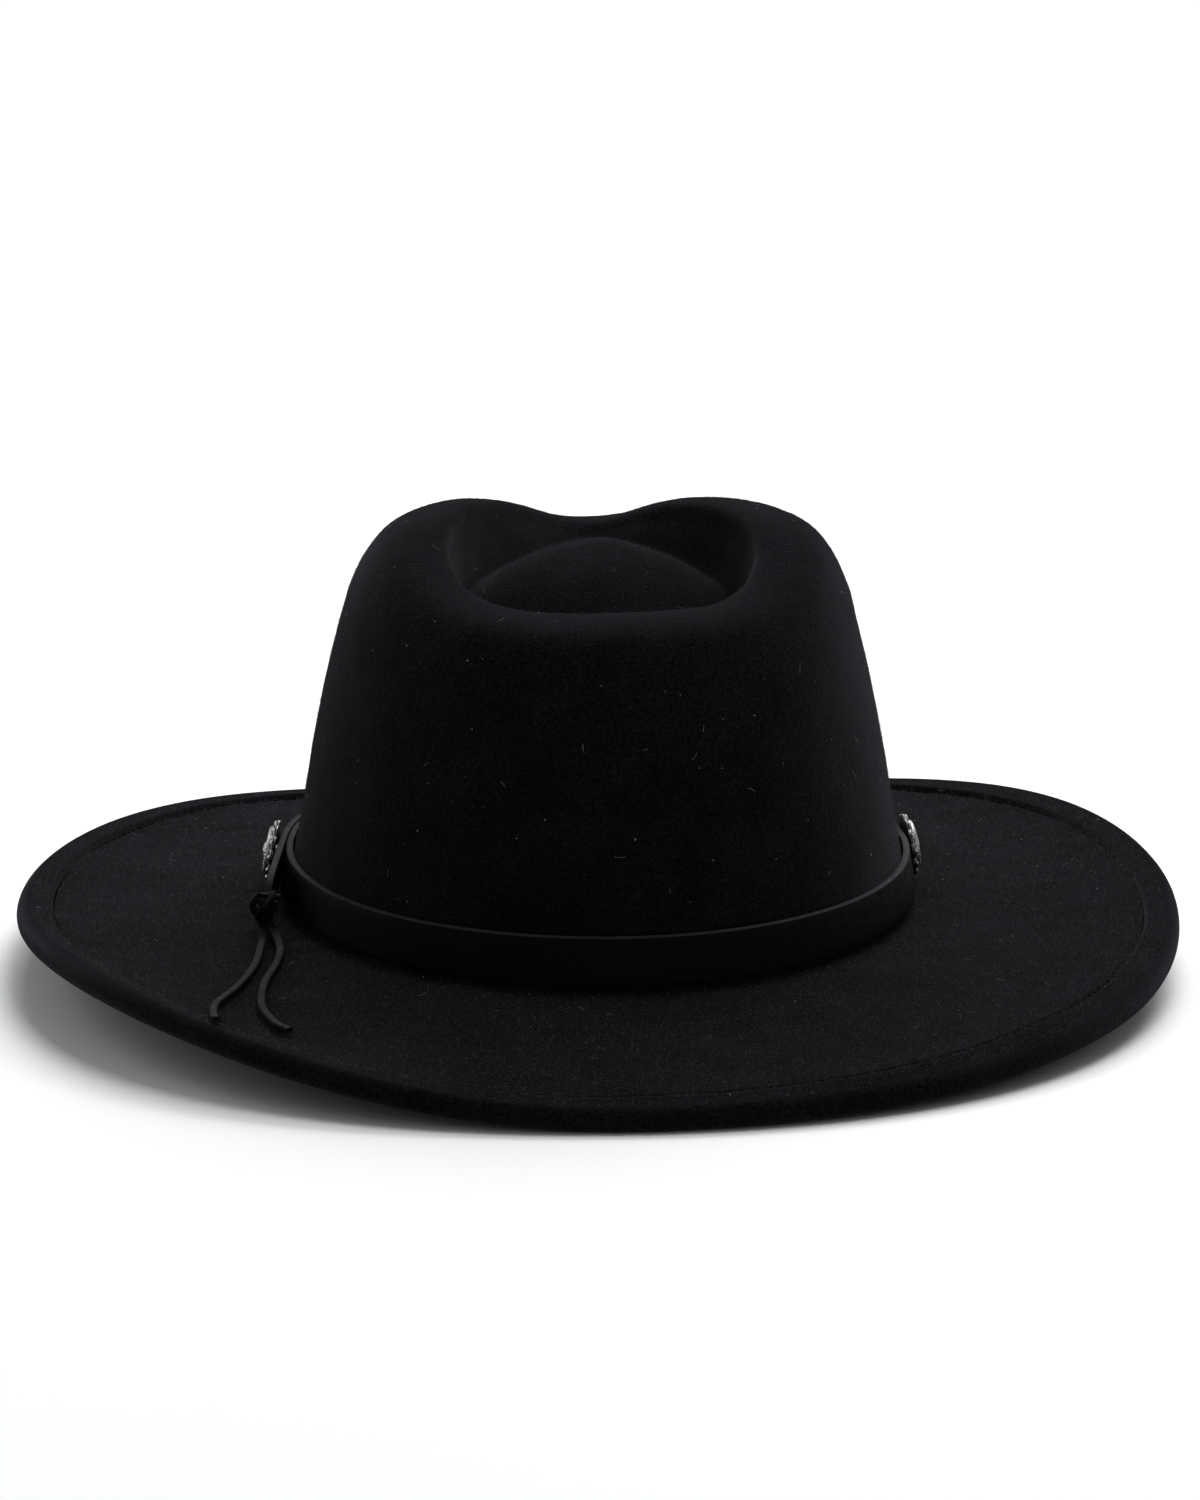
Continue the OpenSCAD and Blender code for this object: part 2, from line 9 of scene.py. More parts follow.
import bpy
import numpy as np
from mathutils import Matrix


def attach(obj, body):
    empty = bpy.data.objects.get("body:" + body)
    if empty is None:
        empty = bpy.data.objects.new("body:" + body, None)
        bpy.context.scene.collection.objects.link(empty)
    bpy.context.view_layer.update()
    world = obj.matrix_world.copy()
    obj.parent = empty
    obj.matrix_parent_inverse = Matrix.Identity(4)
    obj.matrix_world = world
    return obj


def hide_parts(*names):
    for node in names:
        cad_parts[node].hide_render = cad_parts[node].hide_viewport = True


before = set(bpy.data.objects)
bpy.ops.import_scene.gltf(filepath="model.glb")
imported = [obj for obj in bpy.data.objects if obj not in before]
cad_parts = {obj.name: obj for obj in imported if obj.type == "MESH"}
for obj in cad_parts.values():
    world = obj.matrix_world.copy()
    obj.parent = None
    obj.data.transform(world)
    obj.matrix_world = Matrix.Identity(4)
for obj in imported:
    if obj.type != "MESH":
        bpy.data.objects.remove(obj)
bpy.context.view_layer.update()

MM = 0.001
RNG = np.random.default_rng(11)

# ---- sizes, in millimetres
FELT_T = 2.0
HALF_W, HALF_L, EGG = 87.1, 105.6, 0.03
CREST_SIDE_H, CREST_FRONT_H, CREST_BACK_H = 108.5, 93.2, 94.0
CREST_BACK_REACH, PINCH_POWER = 0.31, 2.5
CREST_HALF_W, CREST_TAPER, CREST_FRONT_Y, CREST_BACK_Y = 41.0, 0.45, 65.0, 62.0
SHOULDER_DROP, SHOULDER_REACH, WALL_SWELL, BREAK_R = 20.0, 0.62, 1.2, 4.0
TROUGH_HALF_W, TROUGH_FRONT_Y, TROUGH_BACK_Y, TROUGH_TAPER = 34.0, 50.0, 45.0, 0.55
TROUGH_DEPTH, TROUGH_FRONT_DEPTH, DOME_H = 19.0, 8.0, 100.5
BRIM_SIDE_W, BRIM_END_W, BRIM_QUARTER_W = 75.0, 69.5, 3.5
BRIM_SIDE_FALL, BRIM_END_FALL = 0.06, 0.19
CURL_SIDE, CURL_FRONT_QUARTER, CURL_BACK_LEFT, CURL_BACK_RIGHT = 6.5, 5.2, 7.5, 3.0
BRIM_TWIST, CURL_POWER = 1.8, 4.0
HEM_W, HEM_GAP, NOSE_R, FOLD_R = 11.0, 0.4, 3.2, 1.2
SWEAT_H, SWEAT_T, REED_D = 30.0, 1.0, 1.7
LINING_H, LINING_T = 64.0, 0.5
STRAP_H, STRAP_T, STRAP_Z, STRAP_GAP = 12.0, 2.0, 3.0, 0.5
LAP, RAMP, TONGUE_L = 11.0, 24.0, 44.0
DISC_LEFT_A, DISC_RIGHT_A, DISC_D, DISC_H, SCALLOPS = 175.0, 5.0, 18.0, 3.2, 12
POST_D, LACE_D = 3.6, 2.2
FIT_GAP = 0.2

END_TILT = math.atan(BRIM_END_FALL)
BREAK_Z = NOSE_R * (1 + math.cos(END_TILT)) + BRIM_END_FALL * (BRIM_END_W - NOSE_R)
STITCH_R = 6.4    # from the centre of the brim's fold in to its line of stitches
HEM_DROP, HEM_PAD = 3.0, 0.9    # sag of the hem at the rear right, and its swelling outside the seam
Z_AXIS = np.array([0.0, 0.0, 1.0])

# Routes of the two tails, as in the construction model
OUTER_ROUTE = [
    (-94.8, -40.2, 23.2), (-94.8, -40.6, 21.8), (-94.6, -42.5, 20.5), (-94.2, -47, 19.8), (-94.8, -58, 18.9),
    (-96.3, -70, 18.1), (-98.7, -82, 17.5), (-101.7, -91, 17), (-104.6, -99, 17), (-106.6, -107, 17.4),
    (-107.4, -116, 18), (-107.2, -126, 19.3), (-106.2, -132, 20.3)]
INNER_ROUTE = [
    (-92.6, -40, 23.2), (-92.5, -40.4, 21.8), (-91.9, -42.5, 20.6), (-90.6, -48, 19.9), (-89.4, -59, 19.2),
    (-90.3, -69, 18.5), (-91.7, -77, 17.9), (-93.4, -85, 17.3), (-94.4, -92, 16.9), (-94.7, -100, 16.5),
    (-94.2, -108, 16.2), (-92.7, -116, 16), (-90.2, -123, 15.8), (-87.2, -127, 15.6)]


# ---- small mathematics
def unit(v):
    return v / np.linalg.norm(v, axis=-1, keepdims=True)


def mix(p, q, t):
    return p + (q - p) * t


def column(x):
    """A list of numbers as a column, so that it multiplies a list of points."""
    return np.asarray(x, float)[..., None]


def points(x, y, z):
    """Points from their three coordinates, any of which may be one number for all."""
    return np.stack(np.broadcast_arrays(np.asarray(x, float), y, z), -1)


def ring_angles(count):
    return np.arange(count) * 2 * math.pi / count


def smooth(t):
    t = np.clip(t, 0, 1)
    return t * t * (3 - 2 * t)


def steps(rows):
    """Difference between the neighbours of each row; at the ends, between the last two."""
    out = np.empty_like(rows)
    out[1:-1] = rows[2:] - rows[:-2]
    out[0], out[-1] = rows[1] - rows[0], rows[-1] - rows[-2]
    return out


def catmull_rom(four, t):
    """Point of the smooth curve through four points, from the second at t = 0 to the third."""
    p0, p1, p2, p3 = four
    return 0.5 * (2 * p1 + (p2 - p0) * t + (2 * p0 - 5 * p1 + 4 * p2 - p3) * t * t
                  + (3 * p1 - p0 - 3 * p2 + p3) * t ** 3)


def running_length(path):
    """Length of a path up to each of its points."""
    return np.concatenate([[0], np.cumsum(np.linalg.norm(np.diff(path, axis=0), axis=1))])


def swell(p, wave, seed):
    """Smooth noise from -1 to 1 at the points p, with a wavelength in millimetres."""
    rng = np.random.default_rng(seed)
    total = np.zeros(p.shape[:-1])
    for _ in range(7):
        k = unit(rng.normal(size=3)) * 2 * math.pi / (wave * rng.uniform(0.75, 1.4))
        total += np.sin(p @ k + rng.uniform(0, 2 * math.pi))
    return total / 3.2


# ---- the crown and the brim
def oval(a):
    """The brim break, where the crown's wall meets the brim."""
    c, s = np.cos(a), np.sin(a)
    return points(HALF_W * c * (1 - EGG * s), HALF_L * s, BREAK_Z)


def outward(a):
    """Level direction square to the oval."""
    return unit(points(HALF_L * np.cos(a), HALF_W * (np.sin(a) + EGG * np.cos(2 * a)), 0.0))


def crest_z(a):
    """Height of the crest: pinched down at the front, rounded down at the back."""
    s = np.sin(a)
    ends = np.where(s > 0, np.abs(s) ** PINCH_POWER, s ** 2 + CREST_BACK_REACH * np.sin(2 * a) ** 2)
    end_h = np.where(s > 0, CREST_FRONT_H, CREST_BACK_H)
    return BREAK_Z + CREST_SIDE_H - (CREST_SIDE_H - end_h) * ends


def teardrop(a, w, taper, front, back, z):
    """Ring of half width w that narrows towards the front."""
    s = np.sin(a)
    return points(w * np.cos(a) * (1 - taper * s), (front - back) / 2 + (front + back) / 2 * s, z)


def crest(a):
    return teardrop(a, CREST_HALF_W, CREST_TAPER, CREST_FRONT_Y, CREST_BACK_Y, crest_z(a))


def between(a, share, drop):
    """Ring part of the way out from the crest to the oval, and lower than the crest."""
    p = mix(crest(a), oval(a), share)
    return points(p[..., 0], p[..., 1], crest_z(a) - drop)


def shoulder(a):
    return between(a, SHOULDER_REACH, SHOULDER_DROP)


def wall(a, t):
    """The crown's swelling wall, from the oval at t = 0 to the shoulder."""
    t = column(t)
    return mix(oval(a), shoulder(a), t) + outward(a) * WALL_SWELL * 4 * t * (1 - t)


def wall_at(a, z):
    """Point of the crown's wall at a height above the brim break."""
    return wall(a, z / (shoulder(a)[..., 2] - BREAK_Z))


def trough(a):
    """Bottom of the crease that runs round the dome."""
    depth = mix(TROUGH_DEPTH, TROUGH_FRONT_DEPTH, np.maximum(np.sin(a), 0) ** 2)
    return teardrop(a, TROUGH_HALF_W, TROUGH_TAPER, TROUGH_FRONT_Y, TROUGH_BACK_Y, crest_z(a) - depth)


def inner_bank(a):
    c, t = crest(a), trough(a)
    m = mix(c, t, 0.5)
    return points(m[..., 0], m[..., 1], mix(c[..., 2], t[..., 2], 0.42))


def dome_row(a, share, lift):
    """Ring of the dome, a share of the way from the trough to the middle."""
    t = trough(a)
    return points(t[..., 0] * (1 - share), t[..., 1] * (1 - share), mix(t[..., 2], BREAK_Z + DOME_H, lift))


def crown_rows(a, cuts, wall_rows):
    """Rows of the crown from its apex down to the brim break, each a ring of points."""
    apex = points(np.zeros_like(a), 0.0, BREAK_Z + DOME_H)
    rows = [dome_row(a + math.pi, 0.62, 0.82), apex, dome_row(a, 0.62, 0.82), dome_row(a, 0.28, 0.45),
            trough(a), inner_bank(a), crest(a), between(a, SHOULDER_REACH * 0.64, SHOULDER_DROP * 0.18),
            shoulder(a), wall(a, 0.75)]
    shares = np.arange(cuts) / cuts
    out = [catmull_rom(rows[i:i + 4], t) for i in range(len(rows) - 3) for t in shares]
    return out + [wall(a, t) for t in np.linspace(1, 0.09, wall_rows)]


def brim_w(a):
    return mix(BRIM_END_W, BRIM_SIDE_W, np.cos(a) ** 2) + BRIM_QUARTER_W * np.sin(2 * a) ** 2


def brim(a, r):
    """Point of the brim's upper side at a distance r from the break."""
    c2, q2 = np.cos(a) ** 2, np.sin(2 * a) ** 2
    fall = mix(BRIM_END_FALL, BRIM_SIDE_FALL, c2)
    back = np.where(np.cos(a) > 0, CURL_BACK_RIGHT, CURL_BACK_LEFT)
    quarter = np.where(np.sin(a) > 0, CURL_FRONT_QUARTER, back)
    curl = CURL_SIDE * c2 + 2 * BRIM_TWIST * np.sin(2 * a) * c2 + quarter * q2
    rise = curl * (r / brim_w(a)) ** CURL_POWER - fall * r
    return oval(a) + outward(a) * column(r) + column(rise) * Z_AXIS


def fold_reach(a):
    """Distance from the break to the centre of the fold at the brim's edge."""
    return brim_w(a) - NOSE_R


def brim_up(a, r):
    e, f = 0.5, math.radians(0.5)
    return unit(np.cross(brim(a, r + e) - brim(a, r - e), brim(a + f, r) - brim(a - f, r)))


def edge_point(a, inward, depth):
    """Point so far in from the fold's centre and so deep under the brim's upper side."""
    r = fold_reach(a) - inward
    return brim(a, r) - brim_up(a, r) * column(depth)


def fold_point(a, radius, turn):
    """Point of the fold, turned round its centre from the top of the brim."""
    r = fold_reach(a)
    up = brim_up(a, r)
    flat = outward(a)
    out = unit(flat - up * np.sum(flat * up, -1, keepdims=True))
    return brim(a, r) - up * NOSE_R + up * radius * math.cos(turn) + out * radius * math.sin(turn)


def hem_drop(a):
    """How far the padded hem hangs at the rear right, where the hat has settled on its brim."""
    deg = (np.degrees(a) + 180) % 360 - 180
    return HEM_DROP * smooth((deg + 86) / 34) * smooth((4 - deg) / 40)


def hem_shaped(p, a, inward, pad=0.0):
    """A point of the hem, so far in from the fold's centre, moved with the hem's padding and its drop."""
    up = brim_up(a, fold_reach(a))
    drop = hem_drop(a) * smooth((8.0 - inward) / 11.2)
    return p + up * column(np.full_like(a, pad)) - Z_AXIS * column(drop)


def hem_pad(inward):
    """Swelling of the upper side of the hem between its seam and its edge."""
    return HEM_PAD * smooth((STITCH_R - 0.2 - inward) / 1.6) * mix(0.5, 1.0, np.clip(inward / 4.6, 0, 1))


def break_rows(a, count):
    """Rows of the curve between the crown's wall and the brim."""
    p, q, c = wall_at(a, BREAK_R), brim(a, np.full_like(a, BREAK_R)), oval(a)
    return [mix(mix(p, c, t), mix(c, q, t), t) for t in np.linspace(0, 1, count)]


def ring_normals(rows):
    """Normals of a skin given as rows of rings, pointing away from the head."""
    rows = np.asarray(rows)
    n = np.cross(steps(rows), np.roll(rows, -1, 1) - np.roll(rows, 1, 1))
    n[0] = Z_AXIS
    return unit(n)


# ---- meshes
def new_mesh(name, vertices, faces):
    """A mesh from points in millimetres."""
    mesh = bpy.data.meshes.new(name)
    mesh.from_pydata((np.asarray(vertices, float) * MM).tolist(), [], [list(map(int, f)) for f in faces])
    mesh.validate()
    return mesh


def add_object(name, data):
    obj = bpy.data.objects.new(name, data)
    bpy.context.scene.collection.objects.link(obj)
    return obj


def new_object(name, vertices, faces, material, smooth_shade=True, body="hat"):
    """A mesh object from points in millimetres, riding on a body of the frame."""
    mesh = new_mesh(name, vertices, faces)
    mesh.polygons.foreach_set("use_smooth", [smooth_shade] * len(mesh.polygons))
    mesh.materials.append(material)
    obj = add_object(name, mesh)
    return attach(obj, body)


def ring_faces(n, m, first=0, closed=False):
    """Quads between n rings of m points; closed also joins the last ring to the first."""
    faces = []
    for i in range(n if closed else n - 1):
        p, q = first + i * m, first + ((i + 1) % n) * m
        faces += [(p + j, q + j, q + (j + 1) % m, p + (j + 1) % m) for j in range(m)]
    return faces


def tube_faces(n, m):
    """Faces of an open tube of n rings of m points, with flat ends."""
    return ring_faces(n, m) + [tuple(range(m - 1, -1, -1)), tuple((n - 1) * m + j for j in range(m))]


def capped_skin(rows):
    """Points and faces of a closed skin whose first and last rows are single points."""
    rows = np.asarray(rows)
    n, m = rows.shape[0] - 2, rows.shape[1]
    vertices = np.concatenate([rows[1:-1].reshape(-1, 3), rows[0, :1], rows[-1, :1]])
    top, bottom = n * m, n * m + 1
    faces = ring_faces(n, m)
    faces += [(top, j, (j + 1) % m) for j in range(m)]
    faces += [(bottom, (n - 1) * m + (j + 1) % m, (n - 1) * m + j) for j in range(m)]
    return vertices, faces


def rings_across(path, d, section, up, scale):
    """A section (side, top) set across the direction d at each point of a path."""
    side = unit(np.cross(d, np.broadcast_to(up, path.shape)))[:, None, :]
    top = np.cross(side, d[:, None, :])
    rings = path[:, None, :] + scale * (side * section[None, :, :1] + top * section[None, :, 1:])
    return rings.reshape(-1, 3)


def swept(path, section, up=Z_AXIS, scale=None):
    """Points and faces of a section swept along an open path, with flat ends."""
    path = np.asarray(path, float)
    scale = np.ones(len(path)) if scale is None else scale
    rings = rings_across(path, unit(steps(path)), section, up, scale[:, None, None])
    return rings, tube_faces(len(path), len(section))


def closed_sweep(path, section):
    """A section swept along a path that closes on itself."""
    d = unit(np.roll(path, -1, 0) - np.roll(path, 1, 0))
    return rings_across(path, d, section, Z_AXIS, 1.0), ring_faces(len(path), len(section), closed=True)


def round_section(radius, sides):
    t = ring_angles(sides)
    return np.stack([np.cos(t), np.sin(t)], -1) * radius


def soft_box_section(w, h, r, corner=4):
    """Outline of a w by h rectangle with corners rounded to the radius r."""
    out = []
    for k, (sx, sy) in enumerate([(1, 1), (-1, 1), (-1, -1), (1, -1)]):
        for t in np.linspace(0, math.pi / 2, corner):
            angle = k * math.pi / 2 + t
            out.append((sx * (w / 2 - r) + r * math.cos(angle), sy * (h / 2 - r) + r * math.sin(angle)))
    return np.array(out)


class Pile:
    """Many small closed meshes gathered into one."""

    def __init__(self):
        self.vertices, self.faces, self.count = [], [], 0

    def add(self, vertices, faces):
        self.vertices.append(np.asarray(vertices, float))
        self.faces += [tuple(self.count + i for i in f) for f in faces]
        self.count += len(vertices)

    def finish(self, name, material, body="hat", smooth_shade=True):
        return new_object(name, np.concatenate(self.vertices), self.faces, material, smooth_shade, body)


def spline(control, count):
    """Catmull-Rom curve through the control points, resampled to even steps."""
    c = np.asarray(control, float)
    c = np.concatenate([[2 * c[0] - c[1]], c, [2 * c[-1] - c[-2]]])
    shares = np.linspace(0, 1, 24, endpoint=False)
    dense = [catmull_rom(c[i:i + 4], t) for i in range(len(c) - 3) for t in shares]
    dense = np.array(dense + [c[-2]])
    along = running_length(dense)
    even = np.linspace(0, along[-1], count)
    return np.stack([np.interp(even, along, dense[:, k]) for k in range(3)], -1)


# ---- materials
def grey(v):
    return v, v, v, 1


class Nodes:
    """A material's node tree with short calls for the nodes used here."""

    def __init__(self, name):
        self.material = bpy.data.materials.new(name)
        self.material.use_nodes = True
        self.tree = self.material.node_tree
        self.shader = self.tree.nodes["Principled BSDF"]
        self.position = self.add("ShaderNodeTexCoord").outputs["Object"]

    def add(self, kind, **values):
        node = self.tree.nodes.new(kind)
        for key, value in values.items():
            setattr(node, key, value)
        return node

    def link(self, source, target):
        self.tree.links.new(source, target)

    def set(self, **values):
        for key, value in values.items():
            self.shader.inputs[key.replace("_", " ")].default_value = value

    def noise(self, scale, detail, rough=0.5, vector=None):
        node = self.add("ShaderNodeTexNoise")
        node.inputs["Scale"].default_value = scale
        node.inputs["Detail"].default_value = detail
        node.inputs["Roughness"].default_value = rough
        self.link(vector or self.position, node.inputs["Vector"])
        return node.outputs["Fac"]

    def voronoi(self, scale, feature="F1"):
        node = self.add("ShaderNodeTexVoronoi", feature=feature)
        node.inputs["Scale"].default_value = scale
        self.link(self.position, node.inputs["Vector"])
        return node.outputs["Distance"]

    def ramp(self, source, low, high, start=(0, 0, 0, 1), end=(1, 1, 1, 1)):
        node = self.add("ShaderNodeValToRGB")
        for element, place, colour in zip(node.color_ramp.elements, (low, high), (start, end)):
            element.position, element.color = place, colour
        self.link(source, node.inputs["Fac"])
        return node.outputs["Color"]

    def feed(self, sockets, values):
        """Each value is another node's output, or stands by itself."""
        for socket, value in zip(sockets, values):
            if hasattr(value, "is_linked"):
                self.link(value, socket)
            else:
                socket.default_value = value

    def mix(self, factor, a, b, blend="MIX"):
        node = self.add("ShaderNodeMix", data_type="RGBA", blend_type=blend)
        self.feed((node.inputs[0], node.inputs[6], node.inputs[7]), (factor, a, b))
        return node.outputs[2]

    def maths(self, operation, a, b):
        node = self.add("ShaderNodeMath", operation=operation)
        self.feed(node.inputs[:2], (a, b))
        return node.outputs[0]

    def bump(self, height, distance, strength=1.0, under=None):
        node = self.add("ShaderNodeBump")
        node.inputs["Strength"].default_value = strength
        node.inputs["Distance"].default_value = distance
        self.link(height, node.inputs["Height"])
        if under is not None:
            self.link(under, node.inputs["Normal"])
        self.link(node.outputs["Normal"], self.shader.inputs["Normal"])
        return node.outputs["Normal"]

    def colour(self, source):
        self.link(source, self.shader.inputs["Base Color"])

    def rough(self, source, low, high):
        """Roughness from low to high with a noise."""
        self.link(self.ramp(source, 0.3, 0.7, grey(low), grey(high)), self.shader.inputs["Roughness"])

    def mark(self, name):
        """A value that the mesh carries at its points."""
        return self.add("ShaderNodeAttribute", attribute_name=name).outputs["Fac"]


def felt_material():
    """Black wool felt: matt, with a soft nap, mottled dye and a few paler fibres."""
    n = Nodes("black_felt")
    n.set(Roughness=0.93, Sheen_Weight=0.08, Sheen_Roughness=0.36, Sheen_Tint=(0.90, 0.88, 1.0, 1),
          Specular_IOR_Level=0.0)
    cloud = n.ramp(n.noise(60, 2, 0.5), 0.33, 0.68, (0.0041, 0.0040, 0.0047, 1), (0.0060, 0.0058, 0.0069, 1))
    grain = n.ramp(n.noise(1300, 3, 0.75), 0.38, 0.66, grey(0.40), (1.7, 1.7, 1.75, 1))
    shade = n.mix(1.0, cloud, grain, "MULTIPLY")
    fibre = n.ramp(n.voronoi(900), 0.10, 0.20, grey(1), grey(0))
    rare = n.ramp(n.noise(700, 3, 0.7), 0.50, 0.60)
    n.colour(n.mix(n.maths("MULTIPLY", fibre, rare), shade, (0.014, 0.014, 0.016, 1)))
    coarse = n.bump(n.noise(1050, 3, 0.7), 0.0005, 0.7)
    n.bump(n.noise(2600, 3, 0.75), 0.0002, 0.8, under=coarse)
    return n.material


def leather_material(name, dark, light, edge, roughness, grain_scale, grain_depth=0.00008, gloss=0.35):
    """Leather with a pebbled grain and a slow change of tone; edge is the colour of its cut edges, which on
    the strap is a painted highlight.
    """
    n = Nodes(name)
    n.set(Roughness=roughness, Specular_IOR_Level=gloss)
    tone = n.ramp(n.noise(90, 4, 0.6), 0.3, 0.7, dark, light)
    # cut edges take the edge colour: the lace's and sweatband's own edge tone, and on the strap a painted
    # highlight
    n.colour(n.mix(n.mark("cut_edge_and_highlight"), tone, edge))
    n.rough(n.noise(260, 3, 0.6), roughness - 0.08, roughness + 0.1)
    first = n.bump(n.voronoi(grain_scale, feature="SMOOTH_F1"), grain_depth, 0.5)
    n.bump(n.noise(grain_scale * 2.4, 3, 0.6), grain_depth * 0.5, 0.5, under=first)
    return n.material


def metal_material(name, bright, dark, roughness, mark_scale):
    """Metal with dark patina in its hollows and fine handling marks."""
    n = Nodes(name)
    n.set(Metallic=1.0)
    patina = n.maths("MULTIPLY", n.ramp(n.noise(mark_scale, 5, 0.65), 0.42, 0.66), 0.6)
    n.colour(n.mix(n.maths("MAXIMUM", patina, n.mark("hollow")), bright, dark))
    n.rough(n.noise(mark_scale * 3, 3, 0.6), roughness, roughness + 0.22)
    n.bump(n.noise(mark_scale * 5, 3, 0.6), 0.00006, 0.5)
    return n.material


def thread_material(name, colour):
    """Twisted thread."""
    n = Nodes(name)
    n.set(Roughness=0.9, Specular_IOR_Level=0.0)
    dark, light = (tuple(k * v for v in colour) + (1,) for k in (0.6, 1.5))
    n.colour(n.ramp(n.noise(1800, 2, 0.6), 0.3, 0.7, dark, light))
    n.bump(n.noise(5200, 2, 0.5), 0.00005, 0.6)
    return n.material


def ribbon_material():
    """Grosgrain: fine ribs across the ribbon."""
    n = Nodes("grosgrain")
    n.set(Roughness=0.6, Sheen_Weight=0.25)
    rib = n.add("ShaderNodeTexWave", wave_type="BANDS", bands_direction="X")
    rib.inputs["Scale"].default_value = 520
    rib.inputs["Distortion"].default_value = 0.6
    n.link(n.position, rib.inputs["Vector"])
    n.colour(n.ramp(rib.outputs["Fac"], 0.2, 0.9, (0.006, 0.006, 0.008, 1), (0.022, 0.022, 0.026, 1)))
    n.bump(rib.outputs["Fac"], 0.0001, 0.8)
    return n.material


def satin_material():
    """Black satin: a bright weave across a dark ground."""
    n = Nodes("black_satin")
    n.set(Roughness=0.34, Sheen_Weight=0.2, Specular_IOR_Level=0.7)
    stretched = n.add("ShaderNodeMapping")
    stretched.inputs["Scale"].default_value = (1, 1, 6)
    n.link(n.position, stretched.inputs["Vector"])
    weave = n.noise(900, 2, 0.5, stretched.outputs["Vector"])
    n.colour(n.ramp(weave, 0.3, 0.7, (0.008, 0.008, 0.012, 1), (0.024, 0.024, 0.032, 1)))
    n.bump(weave, 0.00008, 0.5)
    return n.material


def mottled_material(name, dark, light, roughness, scale, metallic=0.0):
    """Even stuff with a fine change of tone."""
    n = Nodes(name)
    n.set(Roughness=roughness, Metallic=metallic)
    n.colour(n.ramp(n.noise(scale, 4, 0.6), 0.3, 0.7, dark, light))
    n.bump(n.noise(scale * 4, 3, 0.6), 0.00004, 0.4)
    return n.material


FELT = felt_material()
# the strap's pale bluish edge colour is a painted highlight: its black-painted edges lit from above
STRAP_LEATHER = leather_material(
    "black_strap_leather", (0.0008, 0.0008, 0.0009, 1), (0.0015, 0.0015, 0.0017, 1),
    (0.015, 0.017, 0.020, 1), 0.62, 1500, gloss=0.06)
LACE_LEATHER = leather_material(
    "black_lace_leather", (0.0020, 0.0022, 0.0023, 1), (0.0048, 0.0052, 0.0054, 1),
    (0.004, 0.0042, 0.0045, 1), 0.72, 1900, gloss=0.10)
SWEAT_LEATHER = leather_material(
    "dark_sweatband_leather", (0.018, 0.014, 0.012, 1), (0.036, 0.028, 0.024, 1),
    (0.09, 0.07, 0.055, 1), 0.46, 1200, 0.0001)
SILVER = metal_material("antiqued_silver", (0.62, 0.62, 0.60, 1), (0.035, 0.034, 0.033, 1), 0.24, 900)
POST_METAL = metal_material("screw_metal", (0.55, 0.55, 0.54, 1), (0.12, 0.12, 0.12, 1), 0.3, 700)
BLACK_THREAD = thread_material("black_thread", (0.0022, 0.0022, 0.0025))
BROWN_THREAD = thread_material("brown_thread", (0.05, 0.035, 0.025))
# lit and shaded copies of the same nap, each with a random change of tone: the crown's is kept dark because
# its wall stands in shade; the brim's much paler fibres are a painted sheen where the brim faces the light
CROWN_NAP_SHADED = mottled_material("crown_nap_shaded", (0.003, 0.003, 0.0035, 1), (0.018, 0.018, 0.020, 1), 0.9, 900)
BRIM_NAP_PAINTED_SHEEN = mottled_material("brim_nap_painted_sheen", (0.004, 0.004, 0.005, 1), (0.15, 0.15, 0.16, 1), 0.9, 900)
LINT = mottled_material("lint", (0.06, 0.06, 0.065, 1), (0.30, 0.30, 0.32, 1), 0.8, 300)
RIBBON = ribbon_material()
SATIN = satin_material()
STEEL = mottled_material("spring_steel", (0.20, 0.21, 0.22, 1), (0.42, 0.43, 0.44, 1), 0.35, 500, 1.0)
REED = mottled_material("reed_plastic", (0.55, 0.54, 0.50, 1), (0.72, 0.70, 0.66, 1), 0.45, 400)


# ---- felt body
AROUND = 300    # points round each ring
CREST_CUTS, WALL_ROWS = 8, 24    # rows in each span of the crown's top, and down its wall
BREAK_ROWS, BRIM_ROWS = 8, 30
SEAM_START = 8.4    # how far in from the fold's centre the close rows begin
SEAM_ROWS, EDGE_ROWS = np.arange(8.1, 4.6, -0.27), np.arange(4.2, -0.1, -0.6)
CLOSE_ROWS = range(77, 92)               # rows round the break; the inner side has every second one elsewhere
UNDER_ROWS = (1.2, 2.4, 3.6, 4.6, 5.2, 5.6, 5.9, 6.15, 6.4, 6.65, 6.9)
STILL_TOP, STILL_EDGE = 4, 16    # rows over which the lumps fade out at the apex and at the edge


def stitch_groove(inward):
    """Depth of the seam that the stitches draw into the felt, at a distance in from the fold's centre."""
    return 0.45 * np.exp(-((inward - STITCH_R) / 0.55) ** 2)


